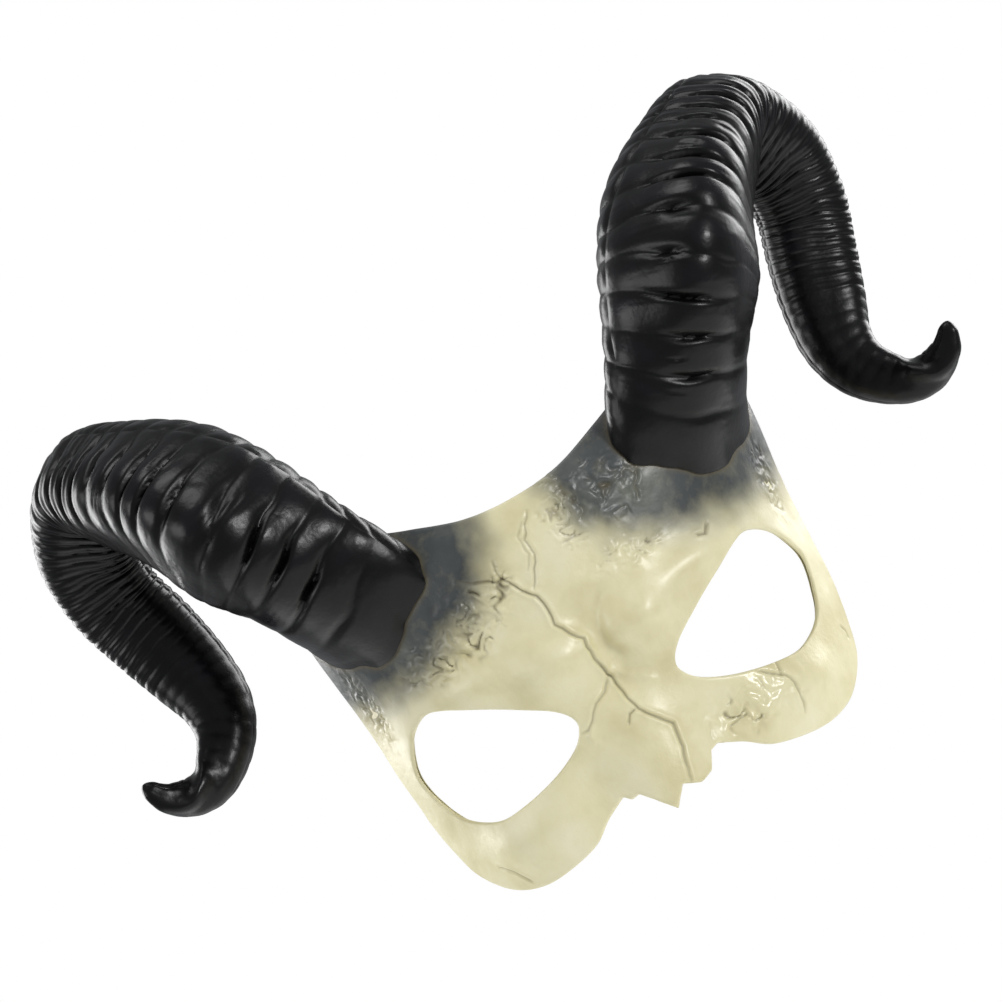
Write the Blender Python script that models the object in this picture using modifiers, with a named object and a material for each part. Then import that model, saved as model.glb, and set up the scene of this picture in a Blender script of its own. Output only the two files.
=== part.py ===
"""Horned skull half mask: a formed shell, two hollow ram horns and an elastic head strap.

Metres, +Z up, the mask faces -Y. The origin is the centre of the forehead pad's rear face,
where the mask rests on the wearer's brow. Face sizes are given from the eye line and the
front of the brow, and FACE_ORIGIN moves them into that frame.
Each horn is moulded as a front and a rear half. It stands on the shell and is held by a
plug inside its foot and screws that come through the shell from a clamp plate.
"""

import math

import bmesh
import bpy
import numpy as np
from mathutils import Matrix, Vector

MM = 0.001

# Driving dimensions
WALL = 2.4 * MM             # moulded shell and horn walls
GAP = 0.3 * MM              # room between pieces that touch
FACE_ORIGIN = Vector((0, 11, 42)) * MM   # forehead pad's rear face, from brow and eye line
HALF_BREADTH = 87 * MM      # the face's half breadth at the eye line
BREADTH_TAPER = 0.085       # how much it grows with height
FACE_DEPTH = 78 * MM        # how far the sides wrap back at a quarter turn
WRAP_RADIUS = 84 * MM       # flat pattern's width per radian of wrap
CROWN_START = 44 * MM       # height where the forehead starts to bend back
CROWN_RADIUS = 50 * MM      # radius of that bend
CHEEK_SETBACK = 1.6         # per metre, how the face draws back below the eyes
EDGE_WRAP = math.radians(77)             # wrap angle of the side edges
SHELL_GRID = 7 * MM         # spacing of the shell's mesh lines
BACK_PLANE = 130 * MM       # how far back the head space is filled for cutting

# Outlines seen from the front, in mm from the centre line and the eye line. Right half.
SIDE_OUTLINE = [
    (0, 66), (18, 67.7), (35, 73.5), (47, 78.5), (60, 86), (76, 87), (88, 76),
    (89, 50), (86.2, 15), (84.5, -3), (83, -20), (79.3, -38), (75, -46.5),
    (68, -53.5), (59, -56.5), (49, -56.3), (35, -52.5), (26.5, -46), (19, -41.8),
]
# The broken lower edge of the nasal bone, from right to left, with sharp corners.
NOSE_EDGE = [
    (15.5, -42.8), (12, -48.6), (7.2, -50.2), (1.2, -47.2), (-4.1, -54.1),
    (-9.5, -47.5), (-13.4, -43.4), (-16.6, -44),
]
EYE_OUTLINE = [
    (20, -11), (24.5, -5.2), (36, 2), (47, 8.4), (57, 13.8), (65, 15), (73.5, 9),
    (78.2, -2), (76.2, -13), (70.5, -23.5), (60, -28.6), (49.5, -28.2), (36, -24.8),
    (26.5, -20.5), (21.5, -16),
]

# Right horn from its root inside the head to its tip. Each station holds x, y, z and radius
# in mm from the brow and eye line, and how far the keel is turned outwards, in degrees.
HORN_STATIONS = [
    (58, 66, 42, 22, 12), (61.5, 44, 48, 24, 12), (66, 25, 60.5, 25.8, 13),
    (76, 15, 80, 27.2, 15), (89, 17, 104, 28, 18), (101, 30, 124, 27.2, 24),
    (115, 47, 138.5, 24.6, 32), (132, 66, 141, 21, 42), (143, 80, 127, 18, 50),
    (142, 88, 106, 16.6, 56), (136.5, 89, 86, 16.2, 58), (131.5, 86, 68, 14.8, 58),
    (128.6, 80, 54, 12.7, 56), (131.5, 74, 42, 10.6, 52), (142, 66, 32, 8.4, 46),
    (154, 60, 32, 6.8, 42), (161, 56, 36, 4.4, 40), (165.5, 53, 42, 1.4, 40),
]
HORN_ROOT_SHARE = 0.2       # the part of the horn that runs forwards out of the shell
HORN_RINGS = 36             # rings along one horn
HALF_SECTION_STEPS = 7      # mesh steps round half a section
SECTION_KEEL = 0.07         # how far the section's three soft corners stand out
CAVITY_LEAST_RADIUS = 3.2 * MM           # the horn is solid where its bore would be narrower

# Horn foot, on the shell's flat pattern
FOOT_CENTRE = (64.5 * MM, 59.5 * MM)
PLUG_THICKNESS = 7 * MM
PLUG_HALF_SIZE = 34 * MM    # of its blank, which the horn's bore trims
CLAMP_THICKNESS = 1.6 * MM
CLAMP_HALF_SIZE = 16 * MM
HORN_SCREWS = 3
HORN_SCREW_CIRCLE = 10 * MM
SCREW_RADIUS = 1.75 * MM
SCREW_HEAD_RADIUS = 3.6 * MM
SCREW_HEAD_HEIGHT = 2.4 * MM
SCREW_BITE = 5 * MM         # how far a horn screw reaches above the shell
HEAD_GAP = 0.8 * MM         # room for a flat screw head on the curved clamp plate

# Forehead pad
PAD_SIZE = Vector((54, 14, 20)) * MM     # its front is trimmed to the shell
PAD_CORNER = 3 * MM

# Elastic head strap and its fixings, on an axis across the temples
STRAP_AXIS_Y = 49 * MM
STRAP_AXIS_Z = 30 * MM
BOSS_FACE_X = 72 * MM
BOSS_RADIUS = 6 * MM
BOSS_REACH = 100 * MM       # past the shell, which trims each boss
STRAP_THICKNESS = 1.4 * MM
STRAP_WIDTH = 15 * MM
STRAP_END = 8 * MM          # strap past the screw
STRAP_STRAIGHT = 34 * MM    # straight run behind the screw
STRAP_LOOP_DEPTH = 76 * MM
STRAP_DROOP = 4 * MM
STRAP_STEPS = 28
WASHER_THICKNESS = 1 * MM
WASHER_RADIUS = 5 * MM
STRAP_SCREW_RADIUS = 1.5 * MM
STRAP_SCREW_END = 5 * MM    # how far the strap screw reaches into its boss
ROUND_STEPS = 12


# ---------------------------------------------------------------- scene helpers

def clear_scene():
    for obj in list(bpy.data.objects):
        bpy.data.objects.remove(obj)


def collection(name):
    made = bpy.data.collections.new(name)
    bpy.context.scene.collection.children.link(made)
    return made


def material(name, colour, roughness, metallic=0.0):
    made = bpy.data.materials.new(name)
    made.use_nodes = True
    shader = made.node_tree.nodes["Principled BSDF"]
    shader.inputs["Base Color"].default_value = (*colour, 1)
    shader.inputs["Roughness"].default_value = roughness
    shader.inputs["Metallic"].default_value = metallic
    return made


def add_object(name, mesh, group, finish=None):
    obj = bpy.data.objects.new(name, mesh)
    group.objects.link(obj)
    if finish:
        mesh.materials.append(finish)
    return obj


def helper(obj):
    """Marks a cutter or other aid, which isn't a piece of the mask."""
    obj.hide_render = True
    obj.display_type = "WIRE"
    return obj


def finished_mesh(bm, name):
    bmesh.ops.recalc_face_normals(bm, faces=bm.faces)
    mesh = bpy.data.meshes.new(name)
    bm.to_mesh(mesh)
    bm.free()
    return mesh


def boolean(obj, operation, other):
    """Adds a Boolean with an object, or with every object of a collection."""
    modifier = obj.modifiers.new(operation.lower(), "BOOLEAN")
    modifier.operation = operation
    modifier.solver = "EXACT"
    if isinstance(other, bpy.types.Collection):
        modifier.operand_type = "COLLECTION"
        modifier.collection = other
    else:
        modifier.object = other


def shade_round(obj, degrees=35):
    obj.data.shade_smooth()
    obj.data.set_sharp_from_angle(angle=math.radians(degrees))


# ---------------------------------------------------------------- the face's form

def hill(u, v, at, spread):
    """A rounded hill of height 1 on the flat pattern, in mm."""
    return np.exp(-(((u - at[0]) / spread[0]) ** 2) - ((v - at[1]) / spread[1]) ** 2)


def relief(u, v):
    """Height of the skull's forms above the smooth face, in mm, at pattern points in mm."""
    side = np.abs(u)
    brow = 5.5 * hill(side, v, (17, 9), (12, 9)) + 4.0 * hill(side, v, (44, 16), (20, 8))
    nasion = -4.5 * hill(u, v, (0, -5), (11, 8)) - 1.5 * hill(u, v, (0, 12), (5, 14))
    nose_drop = np.clip((-v - 6) / 44, 0, 1)
    nose = 9.0 * nose_drop * np.exp(-((u / (8 + 7 * nose_drop)) ** 2))
    cheek = 5.5 * hill(side, v, (56, -40), (22, 13))
    hollow = -2.5 * hill(side, v, (26, -34), (9, 12)) - 2.0 * hill(side, v, (98, 22), (14, 20))
    foot = 4.0 * hill(side, v, (66, 56), (26, 20))
    return brow + nasion + nose + cheek + hollow + foot


def face_surface(u, v):
    """Outer face surface at flat pattern points: u round the face and v up from the eye line."""
    wrap = u / WRAP_RADIUS
    crown = np.clip((v - CROWN_START) / CROWN_RADIUS, 0, None)
    height = np.minimum(v, CROWN_START) + CROWN_RADIUS * np.sin(crown)
    x = (HALF_BREADTH + BREADTH_TAPER * height) * np.sin(wrap)
    y = FACE_DEPTH * (1 - np.cos(wrap)) + CROWN_RADIUS * (1 - np.cos(crown))
    y = y + CHEEK_SETBACK * np.minimum(v + 10 * MM, 0) ** 2
    y = y - relief(u / MM, v / MM) * MM * np.cos(wrap)
    x = x + relief(u / MM, v / MM) * MM * np.sin(wrap)
    return np.stack([x, y, height], axis=-1)


def formed(pattern):
    """Moves flat pattern points (u, v, w) onto the face, w being the height above it."""
    u, v, w = pattern.T
    step = 0.2 * MM
    point = face_surface(u, v)
    across = face_surface(u + step, v) - face_surface(u - step, v)
    up = face_surface(u, v + step) - face_surface(u, v - step)
    normal = np.cross(across, up)
    normal /= np.linalg.norm(normal, axis=1)[:, None]
    return point + normal * w[:, None] - np.array(FACE_ORIGIN)


def unwrap(x, z):
    """Flat pattern point, in metres, of a place seen from the front in mm."""
    crown = math.asin(min(max((z * MM - CROWN_START) / CROWN_RADIUS, 0), 0.985))
    v = z * MM if crown == 0 else CROWN_START + CROWN_RADIUS * crown
    share = x * MM / (HALF_BREADTH + BREADTH_TAPER * z * MM)
    edge = math.sin(EDGE_WRAP)
    return WRAP_RADIUS * math.asin(max(-edge, min(edge, share))), v


def on_shell(u, v, w=0.0):
    """Matrix of a place on the shell, with its Z axis pointing out of the face."""
    reach = 1 * MM
    points = formed(np.array([(u, v, w), (u, v, w + reach), (u, v + reach, w)]))
    origin, out, up = (Vector(p) for p in points)
    z = (out - origin).normalized()
    x = (up - origin).cross(z).normalized()
    rotation = Matrix((x, z.cross(x), z)).transposed()
    return Matrix.Translation(origin) @ rotation.to_4x4()


def flat_pattern(name, loops, thickness, smooth=4):
    """Flat plate from closed loops of (u, v, sharp) points, cut into a grid of faces.

    The first loop is the outline and the others are holes. Its top is at w = 0.
    """
    curve = bpy.data.curves.new(name, "CURVE")
    curve.dimensions = "2D"
    curve.fill_mode = "BOTH"
    curve.extrude = thickness / 2
    curve.resolution_u = smooth
    for loop in loops:
        spline = curve.splines.new("BEZIER")
        spline.bezier_points.add(len(loop) - 1)
        spline.use_cyclic_u = True
        for point, (u, v, sharp) in zip(spline.bezier_points, loop):
            point.co = (u, v, 0)
            kind = "VECTOR" if sharp else "AUTO"
            point.handle_left_type = kind
            point.handle_right_type = kind
    source = bpy.data.objects.new(name, curve)
    bpy.context.scene.collection.objects.link(source)
    graph = bpy.context.evaluated_depsgraph_get()
    mesh = bpy.data.meshes.new_from_object(source.evaluated_get(graph))
    bpy.data.objects.remove(source)
    bm = bmesh.new()
    bm.from_mesh(mesh)
    bpy.data.meshes.remove(mesh)
    bmesh.ops.remove_doubles(bm, verts=bm.verts, dist=0.01 * MM)
    bmesh.ops.translate(bm, verts=bm.verts, vec=(0, 0, -thickness / 2))
    return bm


def slice_grid(bm, spacing):
    """Cuts a flat plate along a square grid, and removes the fill's own edges."""
    for axis in (0, 1):
        values = [vert.co[axis] for vert in bm.verts]
        first = math.ceil(min(values) / spacing - 0.5) + 0.5
        normal = Vector((0, 0, 0))
        normal[axis] = 1
        count = math.floor(max(values) / spacing - first) + 1
        for line in range(count):
            bmesh.ops.bisect_plane(
                bm,
                geom=bm.verts[:] + bm.edges[:] + bm.faces[:],
                plane_co=normal * (first + line) * spacing,
                plane_no=normal,
                dist=0.001 * MM,
            )

    def on_grid(edge):
        for axis in (0, 1):
            ends = [vert.co[axis] / spacing - 0.5 for vert in edge.verts]
            if max(abs(end - round(ends[0])) for end in ends) < 1e-3:
                return True
        return False

    fill = [
        edge
        for edge in bm.edges
        if len(edge.link_faces) == 2
        and all(abs(face.normal.z) > 0.99 for face in edge.link_faces)
        and not on_grid(edge)
    ]
    bmesh.ops.dissolve_edges(bm, edges=fill, use_verts=True)
    bmesh.ops.remove_doubles(bm, verts=bm.verts, dist=0.08 * MM)
    bmesh.ops.triangulate(bm, faces=bm.faces[:], quad_method="BEAUTY", ngon_method="BEAUTY")


def form_mesh(bm, name, shift=0.0):
    """Bends a flat plate onto the face, shift above it, and returns its mesh."""
    pattern = np.array([vert.co for vert in bm.verts])
    pattern[:, 2] += shift
    for vert, place in zip(bm.verts, formed(pattern)):
        vert.co = place
    return finished_mesh(bm, name)


def head_space(name, offset, helpers):
    """Solid behind the face surface moved out by offset: it stands for all inside the mask."""
    across = np.linspace(-math.radians(81), math.radians(81), 41) * WRAP_RADIUS
    upward = np.concatenate([
        np.linspace(-75 * MM, CROWN_START, 20),
        CROWN_START + np.linspace(0.1, 1.25, 9) * CROWN_RADIUS,
    ])
    u, v = np.meshgrid(across, upward)
    front = formed(np.stack([u.ravel(), v.ravel(), np.full(u.size, offset)], axis=-1))
    back = front.copy()
    back[:, 1] = BACK_PLANE
    bm = bmesh.new()
    sheets = [[bm.verts.new(p) for p in points] for points in (front, back)]
    columns, rows = len(across), len(upward)
    for sheet in sheets:
        for row in range(rows - 1):
            for column in range(columns - 1):
                at = row * columns + column
                corners = (at, at + 1, at + columns + 1, at + columns)
                bm.faces.new([sheet[i] for i in corners])
    rim = list(range(columns))
    rim += [row * columns + columns - 1 for row in range(1, rows)]
    rim += [(rows - 1) * columns + column for column in range(columns - 2, -1, -1)]
    rim += [row * columns for row in range(rows - 2, 0, -1)]
    for here, there in zip(rim, rim[1:] + rim[:1]):
        bm.faces.new([sheets[0][here], sheets[0][there], sheets[1][there], sheets[1][here]])
    bmesh.ops.triangulate(bm, faces=bm.faces[:])
    return helper(add_object(name, finished_mesh(bm, name), helpers))


# ---------------------------------------------------------------- solids by tool

def cylinder(name, radius, low, high, matrix, group, finish=None):
    """Cylinder along the matrix's Z axis, from low to high."""
    bm = bmesh.new()
    bmesh.ops.create_cone(
        bm,
        cap_ends=True,
        segments=ROUND_STEPS,
        radius1=radius,
        radius2=radius,
        depth=high - low,
        matrix=Matrix.Translation((0, 0, (low + high) / 2)),
    )
    obj = add_object(name, finished_mesh(bm, name), group, finish)
    obj.matrix_world = matrix
    return obj


def turned(name, profile, matrix, group, finish, ring=False):
    """Solid turned about the matrix's Z axis from (radius, height) points, top to bottom.

    A ring's profile is a closed loop that stays clear of the axis.
    """
    mesh = bpy.data.meshes.new(name)
    edges = [(i, i + 1) for i in range(len(profile) - 1)]
    if ring:
        edges.append((len(profile) - 1, 0))
    mesh.from_pydata([(radius, 0, height) for radius, height in profile], edges, [])
    obj = add_object(name, mesh, group, finish)
    obj.matrix_world = matrix
    screw = obj.modifiers.new("turn", "SCREW")
    screw.steps = screw.render_steps = ROUND_STEPS
    screw.use_merge_vertices = True
    screw.merge_threshold = 0.01 * MM
    screw.use_smooth_shade = False
    return obj


def loft(name, rings, group, finish=None):
    """Closed solid through rings of matching points, with a flat cap at each end."""
    bm = bmesh.new()
    loops = [[bm.verts.new(point) for point in ring] for ring in rings]
    for low, high in zip(loops, loops[1:]):
        for i in range(len(low)):
            j = (i + 1) % len(low)
            bm.faces.new([low[i], low[j], high[j], high[i]])
    bm.faces.new(loops[0])
    bm.faces.new(loops[-1])
    bmesh.ops.triangulate(bm, faces=bm.faces[:])
    return add_object(name, finished_mesh(bm, name), group, finish)


# ---------------------------------------------------------------- horns

def horn_station(share):
    """Centre, radius and keel turn at a share of the way along the right horn."""
    stations = np.array(HORN_STATIONS, float)
    place = min(max(share, 0.0), 1.0) * (len(stations) - 1)
    index = min(int(place), len(stations) - 2)
    t = place - index
    rows = [stations[min(max(index + k, 0), len(stations) - 1)] for k in (-1, 0, 1, 2)]
    before, here, there, after = rows
    value = 0.5 * (
        2 * here
        + (there - before) * t
        + (2 * before - 5 * here + 4 * there - after) * t * t
        + (3 * here - before - 3 * there + after) * t**3
    )
    return Vector(value[:3]) * MM - FACE_ORIGIN, value[3] * MM, math.radians(value[4])


def horn_frame(share, side):
    """Centre, radius and the sideways and keel directions there, for side -1 or 1.

    The keel faces forwards, and turns down where the horn's root runs forwards.
    """
    centre, radius, turn = horn_station(share)
    step = 0.004
    along = horn_station(share + step)[0] - horn_station(share - step)[0]
    along.normalize()
    root = max(1 - share / HORN_ROOT_SHARE, 0)
    forward = Vector((math.sin(turn), -math.cos(turn), 0.15 - 1.5 * root))
    sideways = along.cross(forward).normalized()
    keel = sideways.cross(along).normalized()
    mirror = Vector((side, 1, 1))
    return centre * mirror, radius, sideways * mirror, keel * mirror


def horn_section(angle, radius):
    """Radius of the soft three-cornered section, with one corner on the keel."""
    return radius * (1 + SECTION_KEEL * math.cos(3 * angle))


def horn_half(name, side, front, group, finish):
    """One moulded half, solid: front holds the keel, and both are flat on the parting."""
    rings = []
    face = (GAP if front else -GAP) / 2
    start = 0 if front else math.pi
    for ring in range(HORN_RINGS + 1):
        centre, radius, sideways, keel = horn_frame(ring / HORN_RINGS, side)
        points = []
        for step in range(HALF_SECTION_STEPS + 1):
            angle = start - math.pi / 2 + math.pi * step / HALF_SECTION_STEPS
            reach = horn_section(angle, radius)
            rise = reach * math.cos(angle)
            if step in (0, HALF_SECTION_STEPS):
                rise = face
            points.append(centre + sideways * reach * math.sin(angle) + keel * rise)
        rings.append(points)
    return loft(name, rings, group, finish)


def horn_core(name, side, inset, last_radius, helpers):
    """Closed tube inside the horn, inset from its outer surface, ending where it is narrow."""
    rings = []
    steps = 2 * HALF_SECTION_STEPS
    for ring in range(HORN_RINGS):
        centre, radius, sideways, keel = horn_frame((ring + 0.5) / HORN_RINGS, side)
        if radius - inset < last_radius:
            break
        points = []
        for step in range(steps):
            angle = -math.pi / 2 + 2 * math.pi * step / steps
            reach = horn_section(angle, radius) - inset
            offset = sideways * math.sin(angle) + keel * math.cos(angle)
            points.append(centre + offset * reach)
        rings.append(points)
    return helper(loft(name, rings, helpers))


def horn_screw_places(side):
    """Flat pattern places of one horn's screws, evenly round its foot."""
    u, v = FOOT_CENTRE
    for index in range(HORN_SCREWS):
        angle = math.radians(90 + 360 * index / HORN_SCREWS)
        yield (
            side * (u + HORN_SCREW_CIRCLE * math.cos(angle)),
            v + HORN_SCREW_CIRCLE * math.sin(angle),
        )


def rounded_square(u, v, half):
    """Loop of a square with rounded corners on the flat pattern."""
    corner = 0.72 * half
    return [
        (u + sx * half if flat else u + sx * corner,
         v + sy * corner if flat else v + sy * half, False)
        for sx, sy, flat in (
            (-1, -1, True), (-1, 1, True), (-1, 1, False), (1, 1, False),
            (1, 1, True), (1, -1, True), (1, -1, False), (-1, -1, False),
        )
    ]


def horn_fixing(label, side, groups, finishes, hole_group):
    """Plug, clamp plate and screws that hold one horn to the shell."""
    parts, helpers = groups
    u, v = side * FOOT_CENTRE[0], FOOT_CENTRE[1]
    blank = flat_pattern(
        f"plug_{label}", [rounded_square(u, v, PLUG_HALF_SIZE)], PLUG_THICKNESS
    )
    slice_grid(blank, SHELL_GRID)
    plug = add_object(
        f"horn_plug_{label}",
        form_mesh(blank, f"horn_plug_{label}", PLUG_THICKNESS + GAP),
        parts,
        finishes["plug"],
    )
    core = horn_core(f"plug_trim_{label}", side, WALL + GAP, CAVITY_LEAST_RADIUS, helpers)
    boolean(plug, "INTERSECT", core)
    blank = flat_pattern(
        f"clamp_{label}", [rounded_square(u, v, CLAMP_HALF_SIZE)], CLAMP_THICKNESS
    )
    slice_grid(blank, SHELL_GRID)
    clamp = add_object(
        f"clamp_plate_{label}",
        form_mesh(blank, f"clamp_plate_{label}", -WALL - GAP),
        parts,
        finishes["steel"],
    )
    under_head = -WALL - GAP - CLAMP_THICKNESS - HEAD_GAP
    own_holes = bpy.data.collections.new(f"screw_holes_{label}")
    helpers.children.link(own_holes)
    for index, place in enumerate(horn_screw_places(side)):
        matrix = on_shell(*place)
        profile = [
            (0, SCREW_BITE),
            (SCREW_RADIUS, SCREW_BITE),
            (SCREW_RADIUS, under_head),
            (SCREW_HEAD_RADIUS, under_head),
            (SCREW_HEAD_RADIUS, under_head - 0.55 * SCREW_HEAD_HEIGHT),
            (0.7 * SCREW_HEAD_RADIUS, under_head - SCREW_HEAD_HEIGHT),
            (0, under_head - SCREW_HEAD_HEIGHT),
        ]
        turned(f"horn_screw_{label}_{index + 1}", profile, matrix, parts, finishes["steel"])
        hole = cylinder(
            f"screw_hole_{label}_{index + 1}",
            SCREW_RADIUS + GAP,
            under_head - GAP,
            SCREW_BITE + GAP,
            matrix,
            own_holes,
        )
        helper(hole)
        hole_group.objects.link(hole)
    boolean(plug, "DIFFERENCE", own_holes)
    boolean(clamp, "DIFFERENCE", own_holes)


def make_horn(label, side, groups, finish, seat):
    """Front and rear half of one horn, hollow, standing on the shell."""
    parts, helpers = groups
    bore = horn_core(f"horn_bore_{label}", side, WALL, CAVITY_LEAST_RADIUS, helpers)
    for half, front in (("front", True), ("rear", False)):
        shell = horn_half(f"horn_{half}_{label}", side, front, parts, finish)
        boolean(shell, "DIFFERENCE", bore)
        boolean(shell, "DIFFERENCE", seat)
        shade_round(shell)


# ---------------------------------------------------------------- shell, pad, strap

def shell_loops():
    """Outline and eye holes of the mask on the flat pattern."""
    right = [(*unwrap(x, z), False) for x, z in SIDE_OUTLINE]
    left = [(-u, v, sharp) for u, v, sharp in reversed(right[1:])]
    nose = [(*unwrap(x, z), True) for x, z in NOSE_EDGE]
    eye = [(*unwrap(x, z), False) for x, z in EYE_OUTLINE]
    other_eye = [(-u, v, sharp) for u, v, sharp in reversed(eye)]
    return [right + nose + left, eye, other_eye]


def strap_matrix(side):
    """Frame on the strap's axis whose Z points out through a temple."""
    turn = Matrix.Rotation(side * math.pi / 2, 4, "Y")
    place = Vector((0, STRAP_AXIS_Y, STRAP_AXIS_Z)) - FACE_ORIGIN
    return Matrix.Translation(place) @ turn


def make_shell(groups, finishes, hole_group):
    """Mask shell with its strap bosses, screw holes and boss bores."""
    parts, helpers = groups
    blank = flat_pattern("mask_blank", shell_loops(), WALL)
    slice_grid(blank, SHELL_GRID)
    shell = add_object("mask_shell", form_mesh(blank, "mask_shell"), parts, finishes["bone"])
    inside_wall = head_space("boss_limit", -0.5 * WALL, helpers)
    for label, side in (("left", -1), ("right", 1)):
        matrix = strap_matrix(side)
        boss = cylinder(f"boss_{label}", BOSS_RADIUS, BOSS_FACE_X, BOSS_REACH, matrix, helpers)
        boolean(helper(boss), "INTERSECT", inside_wall)
        boolean(shell, "UNION", boss)
        bore = cylinder(
            f"boss_bore_{label}",
            STRAP_SCREW_RADIUS + GAP,
            BOSS_FACE_X - 1 * MM,
            BOSS_FACE_X + STRAP_SCREW_END + GAP,
            matrix,
            hole_group,
        )
        helper(bore)
    boolean(shell, "DIFFERENCE", hole_group)
    shade_round(shell)


def make_pad(groups, finishes):
    """Foam pad inside the forehead, flat behind and shaped to the shell in front."""
    parts, helpers = groups
    bm = bmesh.new()
    bmesh.ops.create_cube(bm, size=1)
    bmesh.ops.scale(bm, vec=PAD_SIZE, verts=bm.verts)
    bmesh.ops.translate(bm, vec=(0, -PAD_SIZE.y / 2, 0), verts=bm.verts)
    pad = add_object("forehead_pad", finished_mesh(bm, "forehead_pad"), parts, finishes["foam"])
    along_y = [
        edge.index for edge in pad.data.edges
        if abs(
            pad.data.vertices[edge.vertices[0]].co.y
            - pad.data.vertices[edge.vertices[1]].co.y
        ) > PAD_SIZE.y / 2
    ]
    weights = pad.data.attributes.new("bevel_weight_edge", "FLOAT", "EDGE")
    for index in along_y:
        weights.data[index].value = 1
    corners = pad.modifiers.new("corners", "BEVEL")
    corners.limit_method = "WEIGHT"
    corners.width = PAD_CORNER
    corners.segments = 3
    boolean(pad, "INTERSECT", head_space("pad_limit", -WALL - GAP, helpers))


def strap_centreline():
    """Middle line of the strap, from its left end round the head to its right end."""
    x = BOSS_FACE_X - GAP - STRAP_THICKNESS / 2
    bend = STRAP_AXIS_Y + STRAP_STRAIGHT
    points = [Vector((-x, STRAP_AXIS_Y - STRAP_END, 0)), Vector((-x, STRAP_AXIS_Y, 0))]
    points.append(Vector((-x, STRAP_AXIS_Y + STRAP_END, 0)))
    for step in range(STRAP_STEPS + 1):
        angle = math.pi * (1 - step / STRAP_STEPS)
        points.append(
            Vector((x * math.cos(angle), bend + STRAP_LOOP_DEPTH * math.sin(angle), 0))
        )
    points += [Vector((-point.x, point.y, 0)) for point in reversed(points[:3])]
    reach = STRAP_STRAIGHT + STRAP_LOOP_DEPTH - STRAP_END
    for point in points:
        behind = max(point.y - STRAP_AXIS_Y - STRAP_END, 0) / reach
        point.z = STRAP_AXIS_Z - STRAP_DROOP * behind**2
    return [point - FACE_ORIGIN for point in points]


def make_strap(groups, finishes):
    """Elastic strap with a hole at each end, and the washer and screw that hold each end."""
    parts, helpers = groups
    line = strap_centreline()
    rings = []
    for index, point in enumerate(line):
        along = line[min(index + 1, len(line) - 1)] - line[max(index - 1, 0)]
        outward = Vector((along.y, -along.x, 0)).normalized() * STRAP_THICKNESS / 2
        rise = Vector((0, 0, STRAP_WIDTH / 2))
        rings.append([
            point + outward - rise, point + outward + rise,
            point - outward + rise, point - outward - rise,
        ])
    strap = loft("elastic_strap", rings, parts, finishes["elastic"])
    holes = bpy.data.collections.new("strap_holes")
    helpers.children.link(holes)
    boolean(strap, "DIFFERENCE", holes)
    washer_outer = BOSS_FACE_X - GAP - STRAP_THICKNESS - GAP
    under_head = washer_outer - WASHER_THICKNESS - GAP
    hole_radius = STRAP_SCREW_RADIUS + GAP
    for label, side in (("left", -1), ("right", 1)):
        matrix = strap_matrix(side)
        hole = cylinder(
            f"strap_hole_{label}", hole_radius, under_head, BOSS_FACE_X, matrix, holes
        )
        helper(hole)
        low, high = washer_outer - WASHER_THICKNESS, washer_outer
        washer = [
            (WASHER_RADIUS, high), (WASHER_RADIUS, low),
            (hole_radius, low), (hole_radius, high),
        ]
        turned(f"strap_washer_{label}", washer, matrix, parts, finishes["steel"], ring=True)
        screw = [
            (0, BOSS_FACE_X + STRAP_SCREW_END),
            (STRAP_SCREW_RADIUS, BOSS_FACE_X + STRAP_SCREW_END),
            (STRAP_SCREW_RADIUS, under_head),
            (0.9 * SCREW_HEAD_RADIUS, under_head),
            (0.9 * SCREW_HEAD_RADIUS, under_head - 0.5 * SCREW_HEAD_HEIGHT),
            (0.6 * SCREW_HEAD_RADIUS, under_head - SCREW_HEAD_HEIGHT),
            (0, under_head - SCREW_HEAD_HEIGHT),
        ]
        turned(f"strap_screw_{label}", screw, matrix, parts, finishes["steel"])


# ---------------------------------------------------------------- assembly

def main():
    clear_scene()
    parts = collection("horned_half_mask")
    helpers = collection("cutters")
    groups = (parts, helpers)
    finishes = {
        "bone": material("bone_plastic", (0.72, 0.68, 0.48), 0.35),
        "horn": material("black_horn_plastic", (0.012, 0.011, 0.014), 0.3),
        "plug": material("black_plug_plastic", (0.02, 0.02, 0.02), 0.5),
        "steel": material("zinc_plated_steel", (0.6, 0.6, 0.62), 0.35, 1.0),
        "foam": material("grey_foam", (0.12, 0.12, 0.12), 0.9),
        "elastic": material("black_elastic", (0.015, 0.015, 0.015), 0.85),
    }
    hole_group = bpy.data.collections.new("shell_holes")
    helpers.children.link(hole_group)
    seat = head_space("horn_seat", GAP, helpers)
    for label, side in (("left", -1), ("right", 1)):
        make_horn(label, side, groups, finishes["horn"], seat)
        horn_fixing(label, side, groups, finishes, hole_group)
    make_shell(groups, finishes, hole_group)
    make_pad(groups, finishes)
    make_strap(groups, finishes)


main()
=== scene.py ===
# %% [markdown]
# # A horned skull half mask
# The mask has a thin moulded shell in bone colour, two hollow black ram horns that are screwed
# to it from behind, a foam pad and an elastic strap. The frame already holds every piece at its
# size, so this script starts from it and rebuilds what is seen with a finer surface.
# %% Load the frame
import math

import bmesh
import bpy
import numpy as np
from mathutils import Matrix, Vector
from mathutils.geometry import delaunay_2d_cdt


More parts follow.
